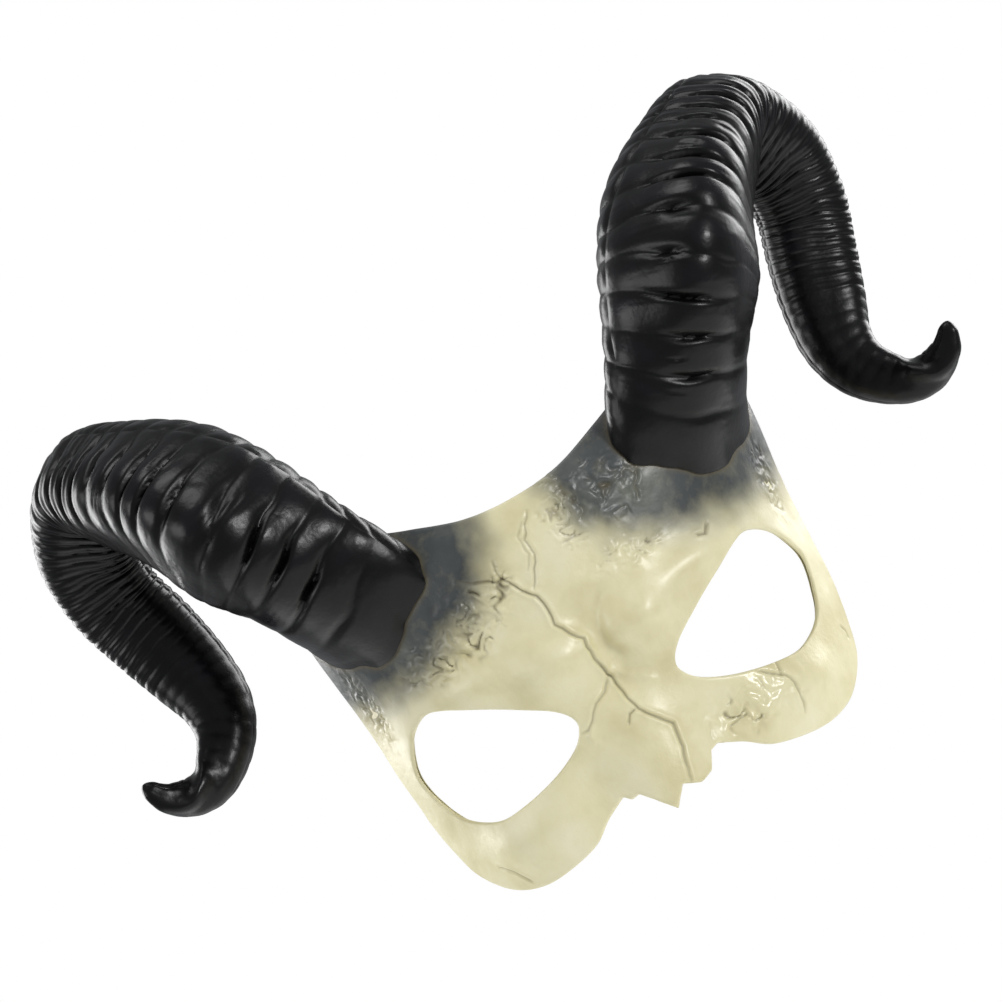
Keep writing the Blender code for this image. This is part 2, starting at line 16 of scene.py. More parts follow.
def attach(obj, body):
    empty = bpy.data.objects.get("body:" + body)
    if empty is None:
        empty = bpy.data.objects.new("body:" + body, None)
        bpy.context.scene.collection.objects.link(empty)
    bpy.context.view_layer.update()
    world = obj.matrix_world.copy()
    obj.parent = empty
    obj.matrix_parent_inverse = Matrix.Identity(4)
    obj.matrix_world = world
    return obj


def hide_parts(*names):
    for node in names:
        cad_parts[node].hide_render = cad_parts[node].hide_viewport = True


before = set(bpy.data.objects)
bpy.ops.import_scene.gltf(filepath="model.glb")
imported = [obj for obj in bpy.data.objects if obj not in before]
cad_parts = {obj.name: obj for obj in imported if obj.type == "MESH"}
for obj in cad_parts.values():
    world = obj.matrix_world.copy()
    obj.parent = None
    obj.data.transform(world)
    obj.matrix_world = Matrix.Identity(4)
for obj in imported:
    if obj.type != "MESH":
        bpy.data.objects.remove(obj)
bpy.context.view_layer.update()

# %% [markdown]
# ## Shared helpers
# All sizes below are in millimetres, measured from the front of the brow and from the line
# between the eyes, because that is how a mask maker lays out a face. One function moves them
# into the frame, whose origin is the forehead pad's rear face.
# %% Units and colours
MM = 0.001
FACE_ORIGIN = np.array([0, 11, 42.0])


def to_frame(points):
    """Face millimetres to metres in the frame."""
    return (np.asarray(points, float) - FACE_ORIGIN) * MM


def linear(hex_colour):
    """An sRGB hex colour as the linear values a shader takes."""
    values = [int(hex_colour[i:i + 2], 16) / 255 for i in (1, 3, 5)]
    return (*[c / 12.92 if c <= 0.04045 else ((c + 0.055) / 1.055) ** 2.4 for c in values], 1)


print("bone in linear values:", [round(c, 3) for c in linear("#dcd6b0")])

# %% [markdown]
# Moulded plastic that imitates bone and horn is never regular. A smooth random field, read at
# several sizes, bends the rings and breaks up the wrinkles. It is drawn from a seeded table, so
# every run gives the same surface.
# %% A smooth random field
NOISE_SIZE = 64


def noise(x, y, seed):
    """Smooth values between -1 and 1 that vary over about one unit of x and y."""
    table = np.random.default_rng(seed).uniform(-1, 1, (NOISE_SIZE, NOISE_SIZE))
    xi, yi = np.floor(x).astype(int), np.floor(y).astype(int)
    fx, fy = x - xi, y - yi
    fx, fy = fx * fx * (3 - 2 * fx), fy * fy * (3 - 2 * fy)
    corner = lambda i, j: table[(xi + i) % NOISE_SIZE, (yi + j) % NOISE_SIZE]
    low = corner(0, 0) * (1 - fx) + corner(1, 0) * fx
    high = corner(0, 1) * (1 - fx) + corner(1, 1) * fx
    return low * (1 - fy) + high * fy


def smooth_step(value, low, high):
    """0 below low, 1 above high and an S-curve between."""
    t = np.clip((value - low) / (high - low), 0, 1)
    return t * t * (3 - 2 * t)


def catmull_rom(points, steps, closed=False):
    """Smooth curve through rows of points, with so many steps between each two."""
    points = np.asarray(points, float)
    count = len(points)
    result = []
    for i in range(count if closed else count - 1):
        pick = [(i + k) % count if closed else min(max(i + k, 0), count - 1) for k in (-1, 0, 1, 2)]
        a, b, c, d = points[pick]
        for t in np.arange(steps) / steps:
            bend = (2 * a - 5 * b + 4 * c - d) * t * t + (3 * b - a - 3 * c + d) * t**3
            result.append(0.5 * (2 * b + (c - a) * t + bend))
    if not closed:
        result.append(points[-1])
    return np.array(result)


sample = noise(np.linspace(0, 20, 200), np.zeros(200), 1)
print("the field runs from", round(sample.min(), 2), "to", round(sample.max(), 2))

# %% [markdown]
# ## The face's form
# The real shell is pulled or moulded over a sculpted head. Here a flat pattern is bent round an
# oval, as a sheet of leather would be, and hills and hollows are added to it: brow, nasal ridge
# and cheekbones. These are the forms of the part's own shell, so the two agree.
# %% Bend a flat pattern to the face
HALF_BREADTH, BREADTH_TAPER, FACE_DEPTH = 87, 0.085, 78
WRAP_RADIUS, EDGE_WRAP = 84, math.radians(77)
CROWN_START, CROWN_RADIUS = 44, 50
CHEEK_SETBACK = 0.0016
WALL = 2.4


def hill(u, v, at, spread):
    """A rounded hill of height 1."""
    return np.exp(-(((u - at[0]) / spread[0]) ** 2) - ((v - at[1]) / spread[1]) ** 2)


def skull_forms(u, v):
    """Brow, nasal ridge, cheekbones and hollows, in millimetres above the smooth face."""
    side = np.abs(u)
    brow = 5.5 * hill(side, v, (17, 9), (12, 9)) + 4.0 * hill(side, v, (44, 16), (20, 8))
    nasion = -4.5 * hill(u, v, (0, -5), (11, 8)) - 1.5 * hill(u, v, (0, 12), (5, 14))
    nose_drop = np.clip((-v - 6) / 44, 0, 1)
    nose = 9.0 * nose_drop * np.exp(-((u / (8 + 7 * nose_drop)) ** 2))
    cheek = 5.5 * hill(side, v, (56, -40), (22, 13))
    hollow = -2.5 * hill(side, v, (26, -34), (9, 12)) - 2.0 * hill(side, v, (98, 22), (14, 20))
    foot = 4.0 * hill(side, v, (66, 56), (26, 20))
    return brow + nasion + nose + cheek + hollow + foot


def face_surface(u, v, height):
    """Points at pattern places u, v that stand height above the smooth face."""
    wrap = u / WRAP_RADIUS
    crown = np.clip((v - CROWN_START) / CROWN_RADIUS, 0, None)
    z = np.minimum(v, CROWN_START) + CROWN_RADIUS * np.sin(crown)
    x = (HALF_BREADTH + BREADTH_TAPER * z) * np.sin(wrap)
    y = FACE_DEPTH * (1 - np.cos(wrap)) + CROWN_RADIUS * (1 - np.cos(crown))
    y = y + CHEEK_SETBACK * np.minimum(v + 10, 0) ** 2
    return np.stack([x + height * np.sin(wrap), y - height * np.cos(wrap), z], axis=-1)


def unwrap(places):
    """Pattern places (u, v) of places (x, z) seen from the front."""
    x, z = np.asarray(places, float).T
    crown = np.arcsin(np.clip((z - CROWN_START) / CROWN_RADIUS, 0, 0.985))
    v = np.minimum(z, CROWN_START) + CROWN_RADIUS * crown
    limit = math.sin(EDGE_WRAP)
    share = np.clip(x / (HALF_BREADTH + BREADTH_TAPER * z), -limit, limit)
    return np.stack([WRAP_RADIUS * np.arcsin(share), v], axis=-1)


brow = face_surface(np.array(17.0), np.array(9.0), skull_forms(17.0, 9.0))
print("the brow stands at", np.round(brow, 1))

# %% [markdown]
# ## Cracks and creases
# The maker cut cracks into the mould as if the bone had split: one long crack winds from the
# forehead over the root of the nose to its broken tip, with twigs to both sides, and short ones
# run over the cheeks. Each is a line of a few points. The surface dips along it, and the
# lips of the cut stand up a little, as they do where a tool has pushed the clay aside.
# %% Lines of the cracks, as (x, z) from the front
CRACKS = {
    "main": (0.75, [
        (-30.5, 50), (-24.5, 46), (-19.5, 43), (-17.5, 43.5), (-13.5, 36.5), (-10, 32.5),
        (-9, 26.5), (-9.5, 21), (-6.5, 16), (-3, 12), (-3.5, 4), (-2.5, -2.5), (-1.5, -7),
        (-0.5, -13), (1, -18), (4.5, -23), (8.5, -28), (7.5, -34), (5.5, -41), (4, -48.5),
    ]),
    "twig": (0.5, [(-17.5, 43.5), (-18, 46.5), (-17, 50)]),
    "chip": (0.6, [(0, -17.5), (-2.5, -18), (-4.5, -21)]),
    "left_branch": (0.45, [
        (-2.5, -3.5), (-6.5, -7.5), (-11, -9.5), (-14.5, -13.5), (-17.5, -16), (-20, -16),
    ]),
    "upper": (0.5, [(1.5, 59), (-1.5, 55.5), (-4, 51), (-3.5, 45), (-6, 41), (-9.5, 35)]),
    "upper_side": (0.3, [(-1.5, 57), (-5.5, 53), (-5, 46), (-8, 41.5)]),
    "right_cheek": (0.5, [
        (42, -27.5), (45.5, -31.5), (48, -34), (49, -37.5), (48.5, -42.5), (48, -48.5),
    ]),
    "right_cheek_twig": (0.4, [(48.5, -28.5), (47, -33)]),
    "left_cheek": (0.5, [(-67, -43.5), (-62.5, -47.5), (-59.5, -53)]),
    "hook": (0.7, [(47, 23), (49.5, 22), (52.5, 25)]),
    "under_horn": (0.45, [(40.5, 52.5), (37.5, 48.5), (36.5, 44)]),
    "right_edge": (0.35, [(76.5, -31), (77.5, -33.5), (77, -36)]),
}
# Soft folds beside the root of the nose: a raised lid edge and the groove round the brow boss.
FOLDS = [
    (1.3, 1.5, [(-0.5, 3.5), (-1.5, -1), (2.5, -5), (8.5, -9.5), (12.5, -13.5)]),
    (0.5, 1.2, [(-1.5, -1), (3, -2.5), (9, -4), (15, -7.5)]),
    (-2.0, 2.6, [(14, -4), (5, 0), (1.5, 6), (1.5, 12), (4, 18), (9, 23), (18, 27)]),
    (-0.6, 2.0, [(-3, 12), (-1, 16), (-2.5, 24)]),
    (0.6, 1.2, [(-15, -14), (-18, -18.5), (-17, -22)]),
    (-0.9, 5.0, [(14, 62), (16, 48), (12, 36), (6, 26)]),
    (0.8, 4.5, [(30, 30), (24, 22), (19, 12), (17, 2)]),
    (0.8, 4.5, [(-34, 22), (-22, 20), (-12, 12), (-8, 3)]),
]


def jagged(points, seed):
    """Breaks a line into shorter steps that wander, as a crack does."""
    points = np.asarray(points, float)
    places = [points[0]]
    random = np.random.default_rng(seed)
    for here, there in zip(points, points[1:]):
        pieces = max(int(np.linalg.norm(there - here) / 2.2), 1)
        for piece in range(1, pieces + 1):
            stray = random.uniform(-0.45, 0.45, 2) if piece < pieces else 0
            places.append(here + (there - here) * piece / pieces + stray)
    return np.array(places)


def line_distance(u, v, line):
    """Distance of each place from a line of points, and how far along the line it is."""
    nearest = np.full(u.shape, 1e6)
    along = np.zeros(u.shape)
    for index, (here, there) in enumerate(zip(line, line[1:])):
        step = there - here
        t = np.clip(((u - here[0]) * step[0] + (v - here[1]) * step[1]) / (step @ step), 0, 1)
        gap = np.hypot(u - here[0] - t * step[0], v - here[1] - t * step[1])
        along = np.where(gap < nearest, (index + t) / (len(line) - 1), along)
        nearest = np.minimum(gap, nearest)
    return nearest, along


crack_lines = [
    (depth, unwrap(jagged(points, seed)))
    for seed, (depth, points) in enumerate(CRACKS.values())
]
print("cracks:", len(crack_lines), "folds:", len(FOLDS))

# %% [markdown]
# ## Fine relief of the shell
# Besides the cracks, the sculptor roughened some zones: crumpled skin beside the horns, on the
# left brow and at the temples, and a torn, shiny patch on the right cheek. Ridged noise gives
# crumpled forms, because its creases are sharp and its hills are round.
# %% Height and colour fields on the pattern
ROUGH_ZONES = [
    # centre (u, v), spread, height and size of the wrinkles
    ((-48, 30), (21, 7), 2.4, 3.8),
    ((-26, 40), (12, 7), 2.3, 3.5),
    ((26, 54), (12, 11), 1.3, 3.8),
    ((24, 30), (10, 5), 1.7, 3.8),
    ((-97, 28), (7, 13), 1.1, 2.8),
    ((97, 26), (7, 12), 0.9, 3.2),
    ((11, 54), (6, 12), 1.6, 3.4),
    ((36, -38), (15, 7), 2.3, 5.0),
]


def crumple(u, v, size, seed):
    """Lumps with short sharp creases between them, from about -1 to 0.6."""
    warp_u = u + 0.5 * size * noise(u / size, v / size, seed + 7)
    warp_v = v + 0.5 * size * noise(u / size + 9, v / size, seed + 8)
    lumps = 0.5 * noise(warp_u / size, warp_v / size, seed)
    lumps = lumps + 0.3 * noise(2.1 * warp_u / size, 2.1 * warp_v / size, seed + 1)
    valley = np.abs(noise(warp_u / size, 1.6 * warp_v / size, seed + 2))
    broken = smooth_step(noise(0.8 * u / size, 0.8 * v / size, seed + 3), -0.35, 0.25)
    return lumps - 0.85 * broken * np.exp(-((valley / 0.17) ** 2))


def fine_relief(u, v):
    """Height of cracks, folds and wrinkles, and the painted shade in their cuts and creases."""
    height = 0.22 * noise(u / 16, v / 13, 3) + 0.05 * noise(u / 4, v / 4, 4)
    dark = np.zeros(u.shape)
    for index, (centre, spread, rise, size) in enumerate(ROUGH_ZONES):
        zone = hill(u, v, centre, spread)
        bumps = crumple(u, v, size, 20 + 5 * index)
        height = height + rise * zone * bumps
        # Painted shade: the creases of the wrinkles are painted darker.
        dark = dark + 0.9 * smooth_step(zone, 0.1, 0.6) * np.clip(-bumps - 0.3, 0, 1)
    for depth, line in crack_lines:
        gap, along = line_distance(u, v, line)
        fade = np.clip(6 * np.minimum(along, 1 - along) + 0.45, 0, 1)
        height = height - depth * fade * np.exp(-((gap / 0.55) ** 2))
        height = height + 0.42 * depth * fade * np.exp(-(((gap - 1.3) / 0.8) ** 2))
        # Painted shade: the cut of each crack is painted darker.
        dark = dark + depth * fade * np.exp(-((gap / 0.36) ** 2))
    for rise, width, points in FOLDS:
        gap, along = line_distance(u, v, unwrap(points))
        fade = smooth_step(np.minimum(along, 1 - along), 0, 0.25)
        height = height + rise * fade * np.exp(-((gap / width) ** 2))
    return height, np.clip(dark, 0, 1)


sample, _ = fine_relief(np.linspace(-60, 60, 121), np.full(121, 30.0))
print("relief over the brow, mm:", round(sample.min(), 1), "to", round(sample.max(), 1))

# %% [markdown]
# ## The shell's outline
# The outline runs over the brow, down the sides and cheeks, and ends in a broken nasal bone.
# Only the broken edge has corners. The eye openings are long drops that point at the nose.
# %% Outlines, as (x, z) from the front
SIDE_OUTLINE = [
    (0, 66), (18, 67.7), (35, 73.5), (47, 78.5), (60, 86), (76, 87), (88, 76),
    (89, 50), (86.2, 15), (84.5, -3), (83, -20), (79.3, -38), (75, -46.5),
    (68, -53.5), (59, -56.5), (49, -56.3), (35, -52.5), (26.5, -46), (19, -41.8),
]
NOSE_EDGE = [
    (15.5, -42.8), (12, -48.6), (7.2, -50.2), (1.2, -47.2), (-4.1, -54.1),
    (-9.5, -47.5), (-13.4, -43.4), (-16.6, -44),
]
EYE_OUTLINE = [
    (20, -11), (24.5, -5.2), (36, 2), (47, 8.4), (57, 13.8), (65, 15), (73.5, 9),
    (78.2, -2), (76.2, -13), (70.5, -23.5), (60, -28.6), (49.5, -28.2), (36, -24.8),
    (26.5, -20.5), (21.5, -16),
]
RIM_STEP = 0.8


def spread_evenly(line, spacing):
    """Points at an even spacing along a closed line."""
    line = np.vstack([line, line[:1]])
    length = np.concatenate([[0], np.cumsum(np.linalg.norm(np.diff(line, axis=0), axis=1))])
    places = np.linspace(0, length[-1], int(length[-1] / spacing), endpoint=False)
    return np.stack([np.interp(places, length, line[:, k]) for k in (0, 1)], axis=-1)


mirror = np.array([-1, 1])
right_side = np.array(SIDE_OUTLINE)
left_side = right_side[:0:-1] * mirror
top_to_nose = catmull_rom(np.vstack([left_side[-3:], right_side]), 8)[3 * 8:]
nose_to_top = catmull_rom(np.vstack([left_side, right_side[:3]]), 8)[:-2 * 8 - 1]
outline = np.vstack([top_to_nose, NOSE_EDGE, nose_to_top])
right_eye = catmull_rom(EYE_OUTLINE, 8, closed=True)
loops = [
    spread_evenly(unwrap(loop), RIM_STEP)
    for loop in (outline, right_eye, right_eye[::-1] * mirror)
]
print("rim points:", [len(loop) for loop in loops])

# %% [markdown]
# ## The shell's mesh
# The flat pattern is filled with a triangle mesh. Its points lie on a fine grid, with more of
# them along the cracks and just inside every edge, so that cuts stay narrow and the rims
# stay round. The filled pattern is then bent to the face, and Solidify gives it its wall.
# %% Helpers for the pattern's points
GRID_STEP = 1.15
ZONE_STEP = 0.55
CRACK_STEP = 0.4
CRACK_REACH = 2.0
RIM_ROUND = 1.1


def inside(points, loop):
    """True for points inside a closed loop, by counting crossings."""
    x, y = points.T
    result = np.zeros(len(points), bool)
    for (x0, y0), (x1, y1) in zip(loop, np.roll(loop, -1, axis=0)):
        if y0 == y1:
            continue
        crosses = (y0 > y) != (y1 > y)
        result ^= crosses & (x < (x1 - x0) * (y - y0) / (y1 - y0) + x0)
    return result


def on_blank(points):
    """True for points on the shell's material."""
    return inside(points, loops[0]) & ~inside(points, loops[1]) & ~inside(points, loops[2])


def rim_distance(points):
    """Distance of each point from the nearest edge."""
    rims = np.vstack(loops)
    result = np.empty(len(points))
    for start in range(0, len(points), 2000):
        block = points[start:start + 2000]
        gaps = block[:, None, :] - rims[None, :, :]
        result[start:start + 2000] = np.sqrt((gaps**2).sum(axis=2).min(axis=1))
    return result


def grid(low, high, step):
    """Points of a triangular grid over a rectangle."""
    u, v = np.meshgrid(np.arange(low[0], high[0], step), np.arange(low[1], high[1], step * 0.87))
    u[::2] += step / 2
    return np.stack([u.ravel(), v.ravel()], axis=-1)


def crack_points():
    """Closely spaced points along both sides of every crack."""
    blocks = []
    for _, line in crack_lines:
        block = grid(line.min(axis=0) - CRACK_REACH, line.max(axis=0) + CRACK_REACH, CRACK_STEP)
        gap, _ = line_distance(block[:, 0], block[:, 1], line)
        blocks.append(block[gap < CRACK_REACH])
    return np.vstack(blocks)


def zone_weight(points):
    """How far each point lies in a rough zone, from 0 to 1."""
    weight = np.zeros(len(points))
    for centre, spread, *_ in ROUGH_ZONES:
        weight = np.maximum(weight, hill(points[:, 0], points[:, 1], centre, spread))
    return weight


print("grid points in a 10 mm square:", len(grid((0, 0), (10, 10), GRID_STEP)))

# %% [markdown]
# Three rows of points follow every rim at small depths, so that its round edge has faces to
# bend over. The triangulation keeps the rims as edges, and triangles in the openings go.
# %% Place the points and join them
low, high = loops[0].min(axis=0), loops[0].max(axis=0)
coarse, fine = grid(low, high, GRID_STEP), grid(low, high, ZONE_STEP)
plain = np.vstack([coarse[zone_weight(coarse) < 0.22], fine[zone_weight(fine) >= 0.22]])
for _, line in crack_lines:
    gap, _ = line_distance(plain[:, 0], plain[:, 1], line)
    plain = plain[gap > CRACK_REACH]
inner = np.vstack([plain, crack_points()])
inner = inner[on_blank(inner)]
inner = inner[rim_distance(inner) > RIM_ROUND + 0.3]
rim_rows = []
for loop, inward in zip(loops, (1, -1, -1)):
    along = np.roll(loop, -1, axis=0) - np.roll(loop, 1, axis=0)
    normal = np.stack([-along[:, 1], along[:, 0]], axis=-1)
    normal /= np.linalg.norm(normal, axis=1)[:, None]
    area = np.sum(loop[:, 0] * np.roll(loop[:, 1], -1) - np.roll(loop[:, 0], -1) * loop[:, 1])
    for depth in (0.3, 0.65, 1.1):
        rim_rows.append(loop + normal * inward * np.sign(area) * depth)
rim_rows = np.vstack(rim_rows)
rim_rows = rim_rows[on_blank(rim_rows)]
rim_rows = rim_rows[rim_distance(rim_rows) > 0.22]

points = [Vector(p) for p in np.vstack([*loops, rim_rows, inner])]
edges, first = [], 0
for loop in loops:
    count = len(loop)
    edges += [(first + i, first + (i + 1) % count) for i in range(count)]
    first += count
flat_points, _, triangles, _, _, _ = delaunay_2d_cdt(points, edges, [], 1, 1e-4)
flat = np.array([tuple(p) for p in flat_points])
triangles = np.array(triangles)
triangles = triangles[on_blank(flat[triangles].mean(axis=1))]
print("pattern:", len(flat), "points,", len(triangles), "triangles")

# %% [markdown]
# The mesh is bent to the face in one step, with the relief added along the face's own normal.
# Close to an edge the surface drops in a quarter circle, which is the soft edge that trimmed
# and sanded plastic has. Two more facts are stored at each point for the paint: how much painted
# shade lies in its cracks and wrinkle creases, and how far it is from the horns' feet, where the
# maker sprayed grey.
# %% Form the shell
HORN_FOOT = (65, 60)        # (x, z) of a horn's foot from the front
SPRAY_BORDERS = [           # (x, z) from the temple to the top edge, on the right and the left
    [(100, 24), (66, 24), (50, 26), (34, 31), (21, 38), (12, 49), (8, 66), (8, 80)],
    [(-100, 26), (-66, 25), (-50, 28), (-36, 34), (-22, 44), (-17, 53), (-14, 66), (-14, 80)],
]


def formed(u, v, above):
    """Points above the finished skull surface, along its normal, in millimetres."""
    step = 0.15
    shape = lambda a, b: face_surface(a, b, skull_forms(a, b))
    across = shape(u + step, v) - shape(u - step, v)
    up = shape(u, v + step) - shape(u, v - step)
    normal = np.cross(across, up)
    normal /= np.linalg.norm(normal, axis=-1)[..., None]
    return shape(u, v) + normal * np.asarray(above)[..., None]


def rim_drop(points):
    """How far the front surface drops beside an edge."""
    near = np.clip(RIM_ROUND - rim_distance(points), 0, RIM_ROUND)
    return RIM_ROUND - np.sqrt(RIM_ROUND**2 - near**2)


def airbrush(x, z):
    """The grey spray: full round the horns' feet, soft at its border, none at the eyes."""
    cover = np.zeros(x.shape)
    ragged = 2.2 * noise(x / 8, z / 8, 61) + 1.2 * noise(x / 3, z / 3, 62)
    for border in SPRAY_BORDERS:
        sign = math.copysign(1, border[0][0])
        area = np.array(border + [(sign * 8, 140), (sign * 140, 140), (sign * 140, border[0][1])])
        gap, _ = line_distance(x, z, np.array(border, float))
        above = np.where(inside(np.stack([x, z], axis=-1), area), gap, -gap)
        cover = np.maximum(cover, smooth_step(above + ragged, -9, 11))
    return cover


def new_piece(name, mesh, body="mask"):
    """Links a mesh as a piece that rides on a body."""
    obj = bpy.data.objects.new(name, mesh)
    bpy.context.scene.collection.objects.link(obj)
    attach(obj, body)
    return obj


def store(mesh, name, values):
    """Keeps one number a vertex for a material to read."""
    layer = mesh.attributes.new(name, "FLOAT", "POINT")
    layer.data.foreach_set("value", np.asarray(values, np.float32))


relief, painted_shade = fine_relief(flat[:, 0], flat[:, 1])
skin = formed(flat[:, 0], flat[:, 1], relief - rim_drop(flat))
shell_mesh = bpy.data.meshes.new("skull_shell")
shell_mesh.from_pydata(to_frame(skin).tolist(), [], triangles.tolist())
shell_mesh.shade_smooth()
# The crack attribute holds painted shade for the cracks and the wrinkles' creases; the horns' feet are
# added later.
store(shell_mesh, "crack", painted_shade)
store(shell_mesh, "spray", airbrush(skin[:, 0], skin[:, 2]))
store(shell_mesh, "torn", hill(flat[:, 0], flat[:, 1], (38, -36), (17, 11)))
shell = new_piece("skull_shell", shell_mesh)
wall = shell.modifiers.new("wall", "SOLIDIFY")
wall.thickness = WALL * MM
wall.offset = -1
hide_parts("mask_shell")
print("shell points:", len(skin), "lowest z:", round(float(skin[:, 2].min()), 1))

# %% [markdown]
# ## Turned, lofted and swept pieces
# The other moulded and cut pieces all have rows of points that each close on themselves. So one
# helper joins the rows with four-sided faces, one closes the ends, and one makes the mesh, with
# its faces turned outwards.
# %% Helpers for pieces made of closed rows
def tube_faces(rows, count):
    """Four-sided faces between rows of points that each close on themselves."""
    start = np.arange(rows - 1)[:, None] * count
    at, following = start + np.arange(count), start + (np.arange(count) + 1) % count
    return np.stack([at, following, following + count, at + count], axis=-1).reshape(-1, 4).tolist()


def end_face(row, count):
    """One face over a whole row."""
    return [row * count + i for i in range(count)]


def closed_mesh(name, vertices, faces, sharp=None, merge=None):
    """A smooth mesh of a closed piece, with edges kept sharp past so many degrees."""
    mesh = bpy.data.meshes.new(name)
    mesh.from_pydata(to_frame(vertices).tolist(), [], faces)
    bm = bmesh.new()
    bm.from_mesh(mesh)
    if merge:
        bmesh.ops.remove_doubles(bm, verts=bm.verts, dist=merge * MM)
    bmesh.ops.recalc_face_normals(bm, faces=bm.faces)
    bm.to_mesh(mesh)
    bm.free()
    mesh.shade_smooth()
    if sharp:
        mesh.set_sharp_from_angle(angle=math.radians(sharp))
    return mesh


print("a tube of 3 rows of 4 points has", len(tube_faces(3, 4)), "faces")

# %% [markdown]
# A boss stands inside each temple, moulded with the shell, and its flat end carries the washer,
# the strap and the screw. A moulded boss has a rounded edge and a fillet where it leaves the
# wall, so it is turned here as a profile of radii, from the wall to its end.
# %% Build the strap bosses
BOSS_END_X, BOSS_Y, BOSS_Z = 72.0, 49, 30       # where the boss ends, and its axis
BOSS_SETBACK = 2            # how far the boss stays inside the shell's outer surface


def strap_boss(name, side):
    """A round boss from inside the wall to its end, with a fillet and a rounded rim."""
    profile = [
        (15.2, 7.6), (13.4, 6.9), (12.2, 6.35), (10.8, 6.1), (5, 6.0), (1, 6.0), (0.5, 5.85),
        (0.15, 5.5), (0, 5.0), (0, 3.4), (0.25, 3.1), (0.25, 0.6),
    ]
    turns = np.linspace(0, 2 * math.pi, 96, endpoint=False)
    rings = []
    for depth, radius in profile:
        spread = radius + 0.04 * noise(np.cos(turns) * 4 + 30, np.sin(turns) * 4 + depth, 91)
        y, z = BOSS_Y + spread * np.cos(turns), BOSS_Z + spread * np.sin(turns)
        wall_x = (HALF_BREADTH + BREADTH_TAPER * z) * np.sin(np.arccos(1 - y / FACE_DEPTH))
        x = np.minimum(BOSS_END_X + depth, wall_x - BOSS_SETBACK)
        rings.append(np.column_stack([x * side, y, z]))
    faces = tube_faces(len(rings), len(turns))
    faces += [end_face(0, len(turns)), end_face(len(rings) - 1, len(turns))]
    return closed_mesh(name, np.vstack(rings), faces, sharp=50)


bosses = []
for label, side in (("left", -1), ("right", 1)):
    boss = new_piece(f"strap_boss_{label}", strap_boss(f"strap_boss_{label}", side))
    bosses.append(boss)
print("bosses end at x =", BOSS_END_X)

# %% [markdown]
# ## The horns' route
# A ram's horn grows out of the skull forwards, rises, leans back and curls down to a tip that
# turns up again. A list of stations gives its centre, its radius and the way its keel turns.
# The same stations shape the part, and here a smooth curve through them is read much finer.
# %% Stations of the right horn
HORN_STATIONS = [
    (58, 66, 42, 22, 20), (60.5, 44, 48, 24.8, 20), (64.5, 23, 60.5, 27, 20),
    (76, 15, 80, 27.2, 20), (89, 17, 104, 28, 22), (101, 30, 123, 26.6, 27),
    (115, 47, 135.5, 23.6, 33), (129, 64, 142.5, 20.6, 42), (141, 80, 126.5, 18, 50),
    (142, 88, 106, 16.6, 56), (136.5, 89, 86, 16.2, 58), (131.5, 86, 68, 14.8, 58),
    (128.6, 80, 54, 12.7, 56), (131.5, 74, 42, 10.6, 52), (141, 67, 32.3, 8.6, 46),
    (151, 61.5, 30.4, 7.0, 42), (159, 57.5, 34.4, 5.5, 40), (163.8, 54.6, 42.8, 2.5, 40),
]
TIP_ROUND = 3.4             # the length over which the tip closes in a dome
HORN_ROOT_SHARE = 0.2       # the share over which the keel leans in at the foot
FOOT_SHARE = 0.115          # the share of the route where the horn leaves the shell
FINE_LENGTH = 215           # the horn's first stretch, over the bend, has closer rows
FINE_STEP, COARSE_STEP = 0.55, 0.95
HALF_STEPS = 64             # columns round half a section
PARTING_STEPS = 12          # columns across the parting, which is out of sight
PARTING_RISE = 10           # how far the parting arches over the shell at the foot

fine_route = catmull_rom(HORN_STATIONS, 40)


def horn_at(shares):
    """Centre, radius, sideways and keel directions of the right horn at shares of its route."""
    places = np.linspace(0, 1, len(fine_route))
    pick = lambda t: np.stack([np.interp(t, places, column) for column in fine_route.T], axis=-1)
    rows = pick(shares)
    along = pick(np.clip(shares + 0.004, 0, 1))[:, :3] - pick(np.clip(shares - 0.004, 0, 1))[:, :3]
    along /= np.linalg.norm(along, axis=1)[:, None]
    turn = np.radians(rows[:, 4])
    root = np.clip(1 - shares / HORN_ROOT_SHARE, 0, None)
    forward = np.stack([np.sin(turn), -np.cos(turn), 0.15 - 1.5 * root], axis=-1)
    sideways = np.cross(along, forward)
    sideways /= np.linalg.norm(sideways, axis=1)[:, None]
    keel = np.cross(sideways, along)
    return rows[:, :3], rows[:, 3], sideways, keel


def travel_at(shares):
    """Distance along the horn's middle to each share."""
    centres, _, _, _ = horn_at(shares)
    return np.concatenate([[0], np.cumsum(np.linalg.norm(np.diff(centres, axis=0), axis=1))])


even = FOOT_SHARE + (1 - FOOT_SHARE) * np.linspace(0, 1, 2001)
length = travel_at(even)[-1]
front_rows = np.arange(0, FINE_LENGTH, FINE_STEP)
rear_rows = np.arange(FINE_LENGTH, length - TIP_ROUND, COARSE_STEP)
tip_rows = length - TIP_ROUND * (1 - np.sin(np.radians(np.linspace(4, 88, 14))))
shares = np.interp([*front_rows, *rear_rows, *tip_rows], travel_at(even), even)
travel = travel_at(shares)
tip_dome = np.sqrt(1 - (np.clip(travel - (length - TIP_ROUND), 0, None) / TIP_ROUND) ** 2)
print("horn length along its middle:", round(travel[-1]), "mm, rows:", len(shares))

